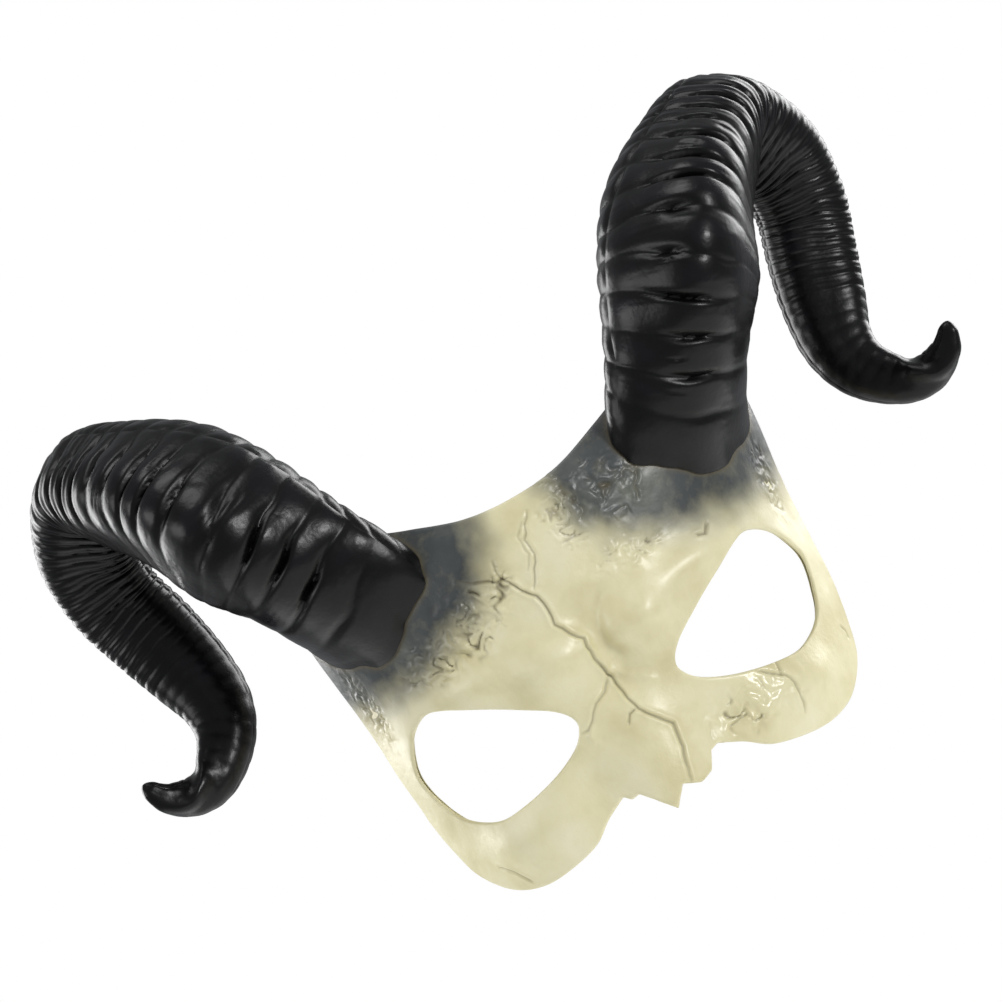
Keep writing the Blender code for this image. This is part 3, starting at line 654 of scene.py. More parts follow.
# %% [markdown]
# ## Growth rings
# Each ring is a swelling with a crease behind it. They are broad and soft near the foot, about
# 9 mm apart, and crowd together to 4 mm over the crown of the curl, where they are also deepest.
# The spacing is summed along the horn to count rings, and noise shifts the count, so that rings
# merge and fork. Beside the keel, short deep creases cut across them.
# %% Rings and creases
RING_SPACING = [
    (0, 10.5), (30, 10), (80, 9.5), (100, 8.5), (120, 6), (150, 5), (185, 5), (230, 6),
    (330, 4.5), (450, 3),
]
RING_DEPTH = [
    (0, 0.9), (60, 1.1), (100, 1.2), (130, 1.05), (175, 0.7), (215, 0.55), (330, 0.5), (400, 0.2),
]


def along_horn(table, distance):
    """Reads a table of (distance, value) rows."""
    places, values = zip(*table)
    return np.interp(distance, places, values)


ring_count = np.concatenate([[0], np.cumsum(np.diff(travel) / along_horn(RING_SPACING, travel[1:]))])


def horn_relief(row, angle, seed):
    """Height of rings, creases and seam at route rows and angles from the keel, in mm."""
    distance = travel[row]
    side = np.sin(angle)
    count = ring_count[row] + 0.3 * side
    count = count + 0.2 * noise(angle * 1.2 + 20, distance / 22, seed)
    count = count + 0.06 * noise(angle * 3 + 20, distance / 7, seed + 1)
    phase = count - np.floor(count)
    from_valley = np.minimum(phase, 1 - phase)
    swell = np.sin(math.pi * phase) ** 0.7
    outer_face = smooth_step(side, 0.1, 0.6) * (1 - smooth_step(distance, 85, 130))
    strength = 0.8 + 0.35 * noise(count * 0.9, angle * 1.1 + 30, seed + 2)
    height = along_horn(RING_DEPTH, distance) * (swell - 0.7) * strength * (1 - 0.55 * outer_face)
    bend = smooth_step(distance, 90, 125) * (1 - smooth_step(distance, 185, 225))
    thread = 2.0 * count + 0.35 * noise(angle * 2 + 20, distance / 9, seed + 8)
    thread = np.abs(np.sin(math.pi * thread)) ** 0.6
    height = height + 0.5 * bend * (thread - 0.7)
    beside_keel = np.exp(-(((angle + 0.32) / 0.42) ** 2)) * smooth_step(distance, 4, 20)
    beside_keel = beside_keel * (1 - smooth_step(distance, 105, 140))
    patch = smooth_step(noise(angle * 1.6 + 20, count * 0.8, seed + 3), -0.8, 0.1)
    height = height - 2.9 * beside_keel * patch * np.exp(-((from_valley / 0.1) ** 2))
    extra = smooth_step(noise(angle * 3 + 20, distance / 6, seed + 11), 0.1, 0.6)
    cuts = np.abs(noise(angle * 0.6 + 20, distance / 2.2, seed + 12))
    height = height - 1.0 * beside_keel * extra * np.exp(-((cuts / 0.14) ** 2))
    height = height + 0.4 * beside_keel * noise(angle * 2.6 + 20, distance / 5, seed + 4)
    fine = np.abs(noise(angle * 3 + 20, distance / 1.8, seed + 5)) - 0.4
    height = height + 0.12 * fine
    height = height + 0.4 * noise(angle * 1.6 + 20, distance / 24, seed + 6)
    return height * smooth_step(distance, 0, 5)


print("rings from foot to tip:", round(ring_count[-1]))

# %% [markdown]
# ## The horn's foot
# The horn doesn't run into the shell. Its skirt stands on it along an uneven edge, as if bone had
# grown round it. The edge is a closed line on the shell, given by its reach from the middle
# of the foot in each direction, and the horn's last centimetres bend to meet that line.
# %% Where the foot meets the shell
FOOT_REACH = [
    # direction in degrees, with 270 straight down, and the reach in mm
    (9, 22), (53, 21), (97, 22), (138, 25.5), (160, 27.5), (172, 27.8), (181, 26.2),
    (191, 25.8), (205, 21), (226, 18.8), (240, 19.6), (254, 20.8), (266, 21.8), (278, 22.4),
    (288, 20.6), (296, 20.6), (306, 22.5), (324, 23.5), (342, 23),
]
FOOT_BLEND = 0.13           # the share of the route over which the skirt bends
SCALLOP_BLEND = 0.03        # the same for the uneven edge alone
FOOT_LIFT = 0.7             # how far the edge stands off the shell


def foot_reach(direction, smoothing):
    """Reach of the foot in a direction, averaged over so many degrees to both sides."""
    places, values = np.array(FOOT_REACH, float).T
    places = np.concatenate([[places[-1] - 360], places, [places[0] + 360]])
    values = np.concatenate([[values[-1]], values, [values[0]]])
    turns = np.linspace(-smoothing, smoothing, 15)
    return np.mean([np.interp((direction + turn) % 360, places, values) for turn in turns], axis=0)


def foot_edge(angle, seed, smoothing=3, ragged=0.5):
    """Points of the foot's edge on the shell, by angle from the keel."""
    direction = (np.degrees(angle) - 90 + 12 * (1 + np.cos(angle - math.pi / 4))) % 360
    stray = ragged * noise(np.cos(angle) * 4 + 40, np.sin(angle) * 4 + 40, seed + 9)
    reach = foot_reach(direction, smoothing) + stray
    turn = np.radians(direction)
    x = HORN_FOOT[0] + reach * np.cos(turn)
    z = HORN_FOOT[1] + reach * np.sin(turn)
    pattern = unwrap(np.stack([np.minimum(x, 88.3), z], axis=-1))
    fine, _ = fine_relief(pattern[:, 0], pattern[:, 1])
    return formed(pattern[:, 0], pattern[:, 1], fine + FOOT_LIFT)


print("the foot reaches", round(foot_reach(270, 3), 1), "mm straight down")

# %% [markdown]
# Where a horn stands on the shell, the gap under its edge lies in shadow. So painted shadow is
# added to the shell's dark value along that line.
# %% Paint shadow on the shell along the feet
foot_turns = np.linspace(-math.pi, math.pi, 240)
for side, seed in ((-1, 200), (1, 100)):
    line = foot_edge(foot_turns, seed)[:, [0, 2]] * [side, 1]
    gap, _ = line_distance(skin[:, 0], skin[:, 2], line)
    # Painted shadow: the shell is darkened close to each horn's foot.
    painted_shade = np.maximum(painted_shade, np.exp(-((gap / 1.0) ** 2)))
shell_mesh.attributes["crack"].data.foreach_set("value", painted_shade.astype(np.float32))
print("points darkened at the feet:", int((painted_shade > 0.5).sum()))

# %% [markdown]
# ## Front and rear halves
# Each horn is two mouldings glued along a line that runs up its inner side and over the top,
# and the joint shows as a thin crooked step. So each half is its own closed piece, built as
# rows of points round half a section. The section is a soft triangle with one corner on the
# keel. A sharper keel is what catches the long highlight.
# %% Build one half of a horn
SEAM_WIDTH = 0.045          # radians of surface that dips beside the joint
SEAM_DEPTH = 0.5
SEAM_TURN = 0.3             # radians by which the joint wanders forwards below the bend
OUTER_SEAM = 2.15           # radians from the keel to the other joint, out of sight behind
CAP_RISE = 12               # the foot closes inside, so far above the shell


def foot_cap_place():
    """The point inside the horn where the faces that close its foot meet."""
    pattern = unwrap([HORN_FOOT])
    return formed(pattern[:, 0], pattern[:, 1], np.full(1, float(CAP_RISE)))[0]


def section_radius(angle, radius):
    """A soft three-cornered section with its sharpest corner on the keel."""
    from_keel = np.angle(np.exp(1j * angle))
    hollows = np.exp(-(((np.abs(from_keel) - 0.85) / 0.4) ** 2))
    ridge = np.exp(-((from_keel / 0.34) ** 2)) - 0.8 * hollows
    return radius * (1 + 0.05 * np.cos(3 * angle) + 0.065 * ridge)


def horn_half(name, side, front, seed):
    """Mesh of one half. Its parting is out of sight, and its foot stands on the shell."""
    row, across = np.meshgrid(np.arange(len(shares)), np.linspace(0, 1, HALF_STEPS + 1), indexing="ij")
    wander = SEAM_TURN * smooth_step(travel, 55, 95) * (1 - smooth_step(travel, 110, 160))
    wander = wander[row] + 0.02 * noise(travel / 6, travel * 0, seed)[row]
    if front:
        angle = wander - math.pi / 2 + across * (OUTER_SEAM + math.pi / 2 - wander)
    else:
        angle = OUTER_SEAM + across * (1.5 * math.pi - OUTER_SEAM + wander)
    centre, radius, sideways, keel = (value[row] for value in horn_at(shares))
    from_seam = np.minimum(np.abs(angle - angle[:, :1]), np.abs(angle - angle[:, -1:]))
    height = horn_relief(row, angle, seed) * np.clip(radius / 20, 0.25, 1)
    dip = np.exp(-((from_seam / SEAM_WIDTH) ** 2))
    height = height * (1 - dip) - SEAM_DEPTH * dip * np.clip(radius / 20, 0.3, 1)
    reach = (section_radius(angle, radius) + height) * tip_dome[row]
    offset = sideways * np.sin(angle)[..., None] + keel * np.cos(angle)[..., None]
    surface = centre + offset * reach[..., None]
    bend = 1 - smooth_step(shares[row] - FOOT_SHARE, 0, FOOT_BLEND)[..., None]
    smooth_edge = foot_edge(angle[0], seed, smoothing=24, ragged=0)
    scallops = foot_edge(angle[0], seed) - smooth_edge
    short = np.clip(1 - (shares[row] - FOOT_SHARE) / SCALLOP_BLEND, 0, 1)[..., None] ** 2
    surface = surface + (smooth_edge - surface[0])[None] * bend + scallops[None] * short
    parting = np.linspace(0.03, 0.97, PARTING_STEPS)
    hidden = surface[:, -1:] + (surface[:, :1] - surface[:, -1:]) * parting[None, :, None]
    rise = 4 * PARTING_RISE * parting * (1 - parting) * (1 - smooth_step(travel, 0, 25))[:, None]
    hidden = hidden + np.cross(keel, sideways)[:, :1] * rise[..., None]
    vertices = np.concatenate([surface, hidden], axis=1)
    ring = vertices.shape[1]
    faces = tube_faces(len(shares), ring)
    foot_cap = len(shares) * ring
    for start, cap in ((0, foot_cap), (foot_cap - ring, foot_cap + 1)):
        faces += [[start + i, start + (i + 1) % ring, cap] for i in range(ring)]
    caps = [foot_cap_place(), vertices[-1].mean(axis=0)]
    vertices = np.vstack([vertices.reshape(-1, 3), *caps])
    if side < 0:
        vertices = vertices * [-1, 1, 1]
    mesh = closed_mesh(name, vertices, faces, sharp=60)
    plain = np.zeros((len(shares), PARTING_STEPS))
    # The relief height is kept so the material paints creases darker as shade and rings lighter as
    # highlight.
    store(mesh, "crease", [*np.concatenate([height, plain], axis=1).ravel(), 0, 0])
    return mesh


horn_pieces = []
for label, side, seed in (("left", -1, 200), ("right", 1, 100)):
    for half, front in (("front", True), ("rear", False)):
        mesh = horn_half(f"ram_horn_{half}_{label}", side, front, seed)
        piece = new_piece(mesh.name, mesh)
        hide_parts(f"horn_{half}_{label}")
        horn_pieces.append(piece)
print("horn halves:", [piece.name for piece in horn_pieces])

# %% [markdown]
# A solid plug closes each horn's foot from inside, and takes the screws. It follows the horn's
# bore, so it is the same loft drawn a few millimetres smaller and cut off after a short way.
# %% Build the plugs
PLUG_ROWS, PLUG_INSET = 9, 0.7


def horn_plug(name, side, seed):
    """Closed solid between the shell and the plug's inner face, inside the horn's foot."""
    columns = np.linspace(-math.pi, math.pi, 72, endpoint=False)
    edge = foot_edge(columns, seed)
    row, angle = np.meshgrid(np.arange(PLUG_ROWS), columns, indexing="ij")
    centre, radius, sideways, keel = (value[row] for value in horn_at(shares[:PLUG_ROWS * 2:2]))
    offset = sideways * np.sin(angle)[..., None] + keel * np.cos(angle)[..., None]
    surface = centre + offset * section_radius(angle, radius)[..., None]
    bend = 1 - smooth_step(shares[2 * row] - FOOT_SHARE, 0, FOOT_BLEND)[..., None]
    surface = surface + (edge - surface[0])[None] * bend
    middle = surface.mean(axis=1, keepdims=True)
    inset = PLUG_INSET + 0.01 * np.cos(40 * angle)[..., None]
    vertices = (middle + (surface - middle) * inset)[1:].reshape(-1, 3)
    if side < 0:
        vertices = vertices * [-1, 1, 1]
    vertices = np.vstack([vertices, foot_cap_place() * [side, 1, 1]])
    count = len(columns)
    faces = [[i, (i + 1) % count, len(vertices) - 1] for i in range(count)]
    faces += tube_faces(PLUG_ROWS - 1, count) + [end_face(PLUG_ROWS - 2, count)]
    return closed_mesh(name, vertices, faces, sharp=40)


for label, side, seed in (("left", -1, 200), ("right", 1, 100)):
    plug = new_piece(f"horn_foot_plug_{label}", horn_plug(f"horn_foot_plug_{label}", side, seed))
    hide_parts(f"horn_plug_{label}")
    horn_pieces.append(plug)
print("plugs added, pieces on the horns:", len(horn_pieces))

# %% [markdown]
# ## The forehead pad
# A block of soft foam is glued inside the forehead. Foam that has been die-cut has square sides,
# but its free face swells and its corners are worn round. Its front follows the shell.
# %% Build the pad
PAD_HALF_WIDTH, PAD_HALF_HEIGHT, PAD_CORNER = 26.7, 9.7, 3.5
PAD_EDGE = 2.2


def rounded_rectangle(inset, steps=14):
    """Closed line of a rectangle with round corners, inset from the pad's outline."""
    corner = PAD_CORNER - min(inset, PAD_CORNER - 1)
    line = []
    for quarter in range(4):
        for angle in np.radians(90 * quarter + np.linspace(0, 90, steps)):
            sx, sz = ((1, 1), (-1, 1), (-1, -1), (1, -1))[quarter]
            x = sx * (PAD_HALF_WIDTH - inset - corner) + corner * math.cos(angle)
            z = sz * (PAD_HALF_HEIGHT - inset - corner) + corner * math.sin(angle)
            line.append((x, z))
    return spread_evenly(np.array(line), 1.0)


def pad_mesh():
    """Rings from the shell back to the rear edge, then in over the rear face."""
    base = rounded_rectangle(0)
    middle_z, back = FACE_ORIGIN[2], FACE_ORIGIN[1]
    scale = lambda k: base * [1 - k / PAD_HALF_WIDTH, 1 - k / PAD_HALF_HEIGHT]
    rings = []
    for share in np.linspace(0, 1, 6):
        pattern = base + [0, middle_z]
        front = formed(pattern[:, 0], pattern[:, 1], np.full(len(base), -WALL - 0.4))[:, 1]
        depth = front + (back - PAD_EDGE - front) * share
        pinch = scale(0.35 * math.sin(math.pi * share))
        rings.append(np.column_stack([pinch[:, 0], depth, pinch[:, 1] + middle_z]))
    for turn in np.radians(np.linspace(15, 90, 6)):
        ring = scale(PAD_EDGE * (1 - math.cos(turn)))
        depth = np.full(len(ring), back - PAD_EDGE * (1 - math.sin(turn)))
        rings.append(np.column_stack([ring[:, 0], depth, ring[:, 1] + middle_z]))
    for inset in np.linspace(3, 9, 7):
        ring = scale(inset)
        depth = back - 0.15 * noise(ring[:, 0] / 5, ring[:, 1] / 5, 5) ** 2
        rings.append(np.column_stack([ring[:, 0], depth, ring[:, 1] + middle_z]))
    faces = tube_faces(len(rings), len(base))
    faces += [end_face(0, len(base)), end_face(len(rings) - 1, len(base))]
    return closed_mesh("brow_pad", np.vstack(rings), faces)


pad = new_piece("brow_pad", pad_mesh())
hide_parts("forehead_pad")
print("pad points:", len(pad.data.vertices))

# %% [markdown]
# ## The elastic strap
# Flat elastic is knitted with rubber threads along it, so it has fine lengthwise ribs and thin
# round edges. Each end is cut square and sealed with heat, and the screw goes straight through
# it. The strap is swept as a flat section along the same loop as the part's.
# %% Build the strap
BOSS_FACE_X, STRAP_THICKNESS, STRAP_WIDTH = 72, 1.4, 15
STRAP_AXIS_Y, STRAP_AXIS_Z = 49, 30
STRAP_END, STRAP_STRAIGHT, STRAP_LOOP_DEPTH, STRAP_DROOP = 8, 34, 76, 4
STRAP_RIBS = 8
STRAP_GAP = 0.3


def strap_line(steps=160):
    """Middle line of the strap round the head, with its outward directions."""
    x = BOSS_FACE_X - STRAP_GAP - STRAP_THICKNESS / 2
    bend = STRAP_AXIS_Y + STRAP_STRAIGHT
    runs = np.linspace(STRAP_AXIS_Y - STRAP_END, bend, 30, endpoint=False)
    angles = np.linspace(math.pi, 0, steps)
    line = [(-x, y) for y in runs]
    line += [(x * math.cos(a), bend + STRAP_LOOP_DEPTH * math.sin(a)) for a in angles]
    line += [(x, y) for y in runs[::-1]]
    line = np.array(line)
    reach = STRAP_STRAIGHT + STRAP_LOOP_DEPTH - STRAP_END
    behind = np.clip(line[:, 1] - STRAP_AXIS_Y - STRAP_END, 0, None) / reach
    along = np.gradient(line, axis=0)
    along /= np.linalg.norm(along, axis=1)[:, None]
    outward = np.stack([-along[:, 1], along[:, 0]], axis=-1)
    return line, STRAP_AXIS_Z - STRAP_DROOP * behind**2, outward


def strap_section(steps=48):
    """Half thickness across the width: ribs, and thin rounded edges."""
    across = np.linspace(-1, 1, steps)
    body = 0.5 * STRAP_THICKNESS * (1 - np.abs(across) ** 14)
    ribs = 0.06 * np.abs(np.sin(across * math.pi * STRAP_RIBS))
    return across * STRAP_WIDTH / 2, body - ribs * (np.abs(across) < 0.95)


def strap_mesh():
    """Sweeps the section along the line, and closes the ends."""
    line, height, outward = strap_line()
    across, thick = strap_section()
    rings = []
    for place, z, out in zip(line, height, outward):
        outer = [(*(place + out * t), z + a) for a, t in zip(across, thick)]
        inner_side = [(*(place - out * t), z + a) for a, t in zip(across, thick)]
        rings.append(outer + inner_side[::-1])
    faces = tube_faces(len(rings), len(rings[0]))
    faces += [end_face(0, len(rings[0])), end_face(len(rings) - 1, len(rings[0]))]
    return closed_mesh("elastic_band", np.vstack(rings), faces, merge=0.01)


band = new_piece("elastic_band", strap_mesh(), "strap")
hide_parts("elastic_strap")
band_length = np.linalg.norm(np.diff(strap_line()[0], axis=0), axis=1).sum()
print("strap length:", round(band_length), "mm")

# %% [markdown]
# ## Screws
# The horns are held by pan-head screws with a cross recess, driven from inside. Only the heads
# show, so each head is a dome of rings whose height dips in the shape of a cross. The frame's
# own screws give each place: their axis is the line through the node's box to the shell.
# %% Find each screw's axis in the frame
HEAD_CLEAR, HEAD_MORE = 0.1, 0.05       # mm that a head stands proud of the frame's screw
RECESS_ARM, RECESS_REACH, RECESS_DEPTH = 0.15, 0.52, 0.42       # parts of the head's radius


def screw_axis(node):
    """Centre of the head's free face and the direction out of the head, from the node's mesh."""
    points = np.array([tuple(v.co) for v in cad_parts[node].data.vertices])
    middle = points.mean(axis=0)
    _, _, rows = np.linalg.svd(points - middle)
    axis = rows[0]
    along = (points - middle) @ axis
    side = np.linalg.norm(points - middle - along[:, None] * axis, axis=1)
    if along[side > 0.8 * side.max()].mean() < 0:
        axis, along = -axis, -along
    return Vector(middle + axis * along.max()), Vector(axis), side.max()


def screw_head_mesh(name, radius, segments=80):
    """Pan head round the Z axis, its free face at z = 0, with a cross recess."""
    arm, reach = RECESS_ARM * radius, RECESS_REACH * radius
    bm = bmesh.new()
    rings = []
    for share in np.linspace(0.06, 1, 26):
        ring = []
        for step in range(segments):
            turn = 2 * math.pi * step / segments
            x, y = radius * share * math.cos(turn), radius * share * math.sin(turn)
            z = -0.32 * radius * share**3.2
            if min(abs(x), abs(y)) < arm and max(abs(x), abs(y)) < reach:
                z -= RECESS_DEPTH * radius * (1 - 0.6 * share)
            ring.append(bm.verts.new((x, y, z)))
        rings.append(ring)
    for depth in (-0.45, -0.66):
        rings.append([bm.verts.new((v.co.x, v.co.y, depth * radius)) for v in rings[25]])
    for low, high in zip(rings, rings[1:]):
        for i in range(len(low)):
            j = (i + 1) % len(low)
            bm.faces.new([low[i], low[j], high[j], high[i]])
    bm.faces.new(rings[0])
    bm.faces.new(rings[-1])
    bmesh.ops.recalc_face_normals(bm, faces=bm.faces)
    mesh = bpy.data.meshes.new(name)
    bm.to_mesh(mesh)
    bm.free()
    mesh.shade_smooth()
    mesh.set_sharp_from_angle(angle=math.radians(40))
    return mesh


screws = []
for node in sorted(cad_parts):
    if "screw" not in node:
        continue
    place, axis, radius = screw_axis(node)
    head_mesh = screw_head_mesh(f"{node}_head", radius + HEAD_MORE * MM)
    head = bpy.data.objects.new(f"{node}_head", head_mesh)
    bpy.context.scene.collection.objects.link(head)
    turn = axis.to_track_quat("Z", "Y").to_matrix().to_4x4()
    spin = Matrix.Rotation(len(screws), 4, "Z")       # each screw stopped at another turn
    head.matrix_world = Matrix.Translation(place + axis * HEAD_CLEAR * MM) @ turn @ spin
    bpy.context.view_layer.update()
    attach(head, "mask")
    screws.append(head)
print("screw heads:", len(screws))

# %% [markdown]
# ## Materials
# One small function adds a node with its settings and links. A material is then a short list of
# such calls.
# %% The add-node helper
def add(tree, kind, settings=(), links=()):
    """Adds a node. Settings name attributes or inputs; links give inputs their source sockets."""
    node = tree.nodes.new(kind)
    for key, value in dict(settings).items():
        if isinstance(key, int) or key in node.inputs:
            node.inputs[key].default_value = value
        else:
            setattr(node, key, value)
    for key, source in dict(links).items():
        tree.links.new(source, node.inputs[key])
    return node


def start_material(name):
    """A new material, its node tree, its shader and the object's own coordinates."""
    material = bpy.data.materials.new(name)
    material.use_nodes = True
    tree = material.node_tree
    place = {"Vector": add(tree, "ShaderNodeTexCoord").outputs["Object"]}
    return material, tree, tree.nodes["Principled BSDF"], place


def scale_of(width):
    """Scale of a pattern whose patches or cells are so many millimetres wide."""
    return 1 / (width * MM)


def band_scale(width):
    """Scale of a wave with bands so many millimetres apart; a wave repeats every 2 pi / 20."""
    return math.pi / 10 / (width * MM)


def paint(obj, material):
    """Gives an object one material."""
    obj.data.materials.clear()
    obj.data.materials.append(material)


def ramp_stops(ramp, stops):
    """Sets a colour ramp from (place, hex colour) rows."""
    elements = ramp.color_ramp.elements
    while len(elements) < len(stops):
        elements.new(1)
    for element, (place, colour) in zip(elements, stops):
        element.position = place
        element.color = linear(colour)


print("a pattern 2 mm wide has the scale", round(scale_of(2)))

# %% [markdown]
# ### Bone-coloured vinyl, moulded and airbrushed
# The shell is cream plastic with a satin sheen, since release agent and handling polish
# it. Brown painted shade lies in the cracks, in the creases of the wrinkles and along the horns'
# feet, and grey paint was sprayed in clouds round the horns.
# The spray is fully opaque near a horn and breaks into patches at its border. Large soft
# patches of warmer and greener cream keep the plain areas from looking flat.
# %% Airbrushed bone vinyl
FACTOR, FIRST_COLOUR, SECOND_COLOUR, MIXED = 0, 6, 7, 2      # sockets of a colour mix
CLOUD_WIDTH, MIST_WIDTH, GRAIN_WIDTH = 26.3, 6.25, 1.11       # mm


def feed(tree, shader, **sources):
    """Links sockets to the shader's inputs, named with underscores for spaces."""
    for name, source in sources.items():
        tree.links.new(source, shader.inputs[name.replace("_", " ")])


def bump(tree, strength, depth, pattern, under=None):
    """A bump from a pattern, so many millimetres deep, perhaps on top of another bump."""
    links = {"Height": pattern.outputs[0]}
    if under:
        links["Normal"] = under.outputs[0]
    return add(tree, "ShaderNodeBump", {"Strength": strength, "Distance": depth * MM}, links)


def bone_vinyl(name, sprayed):
    """Cream vinyl. Only the outside is sprayed and has the painted shade; the inside stays plain."""
    material, tree, shader, place = start_material(name)
    clouds = {"Scale": scale_of(CLOUD_WIDTH), "Detail": 4, "Roughness": 0.55}
    patches = add(tree, "ShaderNodeTexNoise", clouds, place).outputs[0]
    drops = {"Scale": scale_of(MIST_WIDTH), "Detail": 6, "Roughness": 0.6}
    mist = add(tree, "ShaderNodeTexNoise", drops, place)
    grain = add(tree, "ShaderNodeTexNoise", {"Scale": scale_of(GRAIN_WIDTH), "Detail": 3}, place)
    cream = add(tree, "ShaderNodeValToRGB", links={0: patches})
    ramp_stops(cream, [(0.3, "#cdc498"), (0.5, "#dbd4ad"), (0.72, "#e2dcbc")])
    grey = add(tree, "ShaderNodeValToRGB", links={0: patches})
    ramp_stops(grey, [(0.3, "#303334"), (0.5, "#3f4343"), (0.72, "#5c5f58")])
    spray = add(tree, "ShaderNodeAttribute", {"attribute_name": "spray"}).outputs["Fac"]
    uneven = {"operation": "MULTIPLY_ADD", 1: 0.4, 2: 0.8}
    specks = add(tree, "ShaderNodeMath", uneven, {0: mist.outputs[0]})
    clamped = {"operation": "MULTIPLY", "use_clamp": True}
    cover = add(tree, "ShaderNodeMath", clamped, {0: spray, 1: specks.outputs[0]})
    sources = {FACTOR: cover.outputs[0], FIRST_COLOUR: cream.outputs[0],
               SECOND_COLOUR: grey.outputs[0]}
    colour = add(tree, "ShaderNodeMix", {"data_type": "RGBA"}, sources)
    # Painted shade: the crack attribute darkens the cracks, the wrinkles' creases and the horns' feet
    # towards brown.
    crack = add(tree, "ShaderNodeAttribute", {"attribute_name": "crack"}).outputs["Fac"]
    thin = add(tree, "ShaderNodeMath", {"operation": "MULTIPLY", 1: 0.85}, {0: crack})
    shade_mix = add(tree, "ShaderNodeMix", {"data_type": "RGBA", SECOND_COLOUR: linear("#5d553f")},
               {FACTOR: thin.outputs[0], FIRST_COLOUR: colour.outputs[MIXED]})
    torn = add(tree, "ShaderNodeAttribute", {"attribute_name": "torn"}).outputs["Fac"]
    satin = add(tree, "ShaderNodeMapRange", {3: 0.34, 4: 0.5}, {0: patches})
    glossier = {"operation": "MULTIPLY_ADD", 1: -0.2}
    rough = add(tree, "ShaderNodeMath", glossier, {0: torn, 2: satin.outputs[0]})
    fine = bump(tree, 0.12, 0.4, grain)
    swell = bump(tree, 0.35, 0.8, mist, under=fine)
    finished = shade_mix.outputs[MIXED] if sprayed else cream.outputs[0]
    feed(tree, shader, Base_Color=finished, Roughness=rough.outputs[0], Normal=swell.outputs[0])
    shader.inputs["IOR"].default_value = 1.53       # vinyl
    shader.inputs["Coat Weight"].default_value = 0.12
    shader.inputs["Coat Roughness"].default_value = 0.22
    return material


plain_bone = bone_vinyl("moulded_bone_vinyl", sprayed=False)
paint(shell, bone_vinyl("airbrushed_bone_vinyl", sprayed=True))
shell.data.materials.append(plain_bone)
wall.material_offset = 1
for boss in bosses:
    paint(boss, plain_bone)
print("vinyl on", 1 + len(bosses), "pieces")

# %% [markdown]
# ### Black horn plastic, moulded, with painted shade and highlight
# The horns are black plastic with a faint violet cast. Raised rings are painted a little lighter
# as painted highlight, and are glossier; the creases are painted darker as painted shade, and
# are duller.
# %% Black horn plastic with painted shade and highlight
HORN_SHADE_PATCH_WIDTH, SCRATCH_WIDTH = 16.7, 2.38       # mm


def black_horn_plastic_painted_shade():
    """Black plastic whose raised rings are painted paler as highlight and are glossier, and whose
    creases are painted darker as shade.
    """
    material, tree, shader, place = start_material("black_horn_plastic_painted_shade")
    # Painted shade and highlight: the relief height paints creases darker and raised rings lighter, in
    # uneven patches.
    crease = add(tree, "ShaderNodeAttribute", {"attribute_name": "crease"}).outputs["Fac"]
    level = add(tree, "ShaderNodeMapRange", {1: -0.7, 2: 0.6}, {0: crease})
    uneven = {"Scale": scale_of(HORN_SHADE_PATCH_WIDTH), "Detail": 5, "Roughness": 0.6}
    cloud = add(tree, "ShaderNodeTexNoise", uneven, place).outputs[0]
    both = add(tree, "ShaderNodeMath", {"operation": "MULTIPLY"}, {0: level.outputs[0], 1: cloud})
    colour = add(tree, "ShaderNodeValToRGB", links={0: both.outputs[0]})
    ramp_stops(colour, [(0.05, "#020202"), (0.3, "#060607"), (0.6, "#131217")])
    rough = add(tree, "ShaderNodeMapRange", {3: 0.36, 4: 0.2}, {0: both.outputs[0]})
    scratches = {"Scale": scale_of(SCRATCH_WIDTH), "Detail": 4}
    worn = bump(tree, 0.22, 0.5, add(tree, "ShaderNodeTexNoise", scratches, place))
    feed(tree, shader, Base_Color=colour.outputs[0], Roughness=rough.outputs[0], Normal=worn.outputs[0])
    # Black plastic is near 1.5. Wear has dulled these broad faces, so the value is brought down
    # until they reflect as little of the room as the real ones.
    shader.inputs["IOR"].default_value = 1.34
    return material


horn_plastic = black_horn_plastic_painted_shade()
for piece in horn_pieces:
    paint(piece, horn_plastic)
print("black plastic on", len(horn_pieces), "pieces")

# %% [markdown]
# ### Fixings, foam and elastic
# The clamp plates and screws are steel with bright zinc, which is grey with a soft blotchy
# grain. The pad is closed-cell foam, whose cut cells are tiny pits about 0.6 mm wide. The strap
# is knitted elastic: stitches of about 0.9 mm cross its lengthwise ribs.
# %% Zinc, foam and elastic
SPANGLE_WIDTH, SCUFF_WIDTH = 2.38, 1.43       # mm
CELL_WIDTH = 0.625
STITCH_ACROSS, STITCH_UPWARD = 0.9, 1.05


def zinc_plated_steel():
    """Bright zinc on steel: blotches of two greys, and scuffs that break up its shine."""
    material, tree, shader, place = start_material("zinc_plated_steel")
    spangle = add(tree, "ShaderNodeTexVoronoi", {"Scale": scale_of(SPANGLE_WIDTH)}, place)
    tone = add(tree, "ShaderNodeValToRGB", links={0: spangle.outputs[0]})
    ramp_stops(tone, [(0.0, "#a9acb0"), (1.0, "#c9cbcd")])
    scuffs = add(tree, "ShaderNodeTexNoise", {"Scale": scale_of(SCUFF_WIDTH), "Detail": 4}, place)
    rough = add(tree, "ShaderNodeMapRange", {3: 0.22, 4: 0.5}, {0: scuffs.outputs[0]})
    feed(tree, shader, Base_Color=tone.outputs[0], Roughness=rough.outputs[0])
    shader.inputs["Metallic"].default_value = 1
    return material


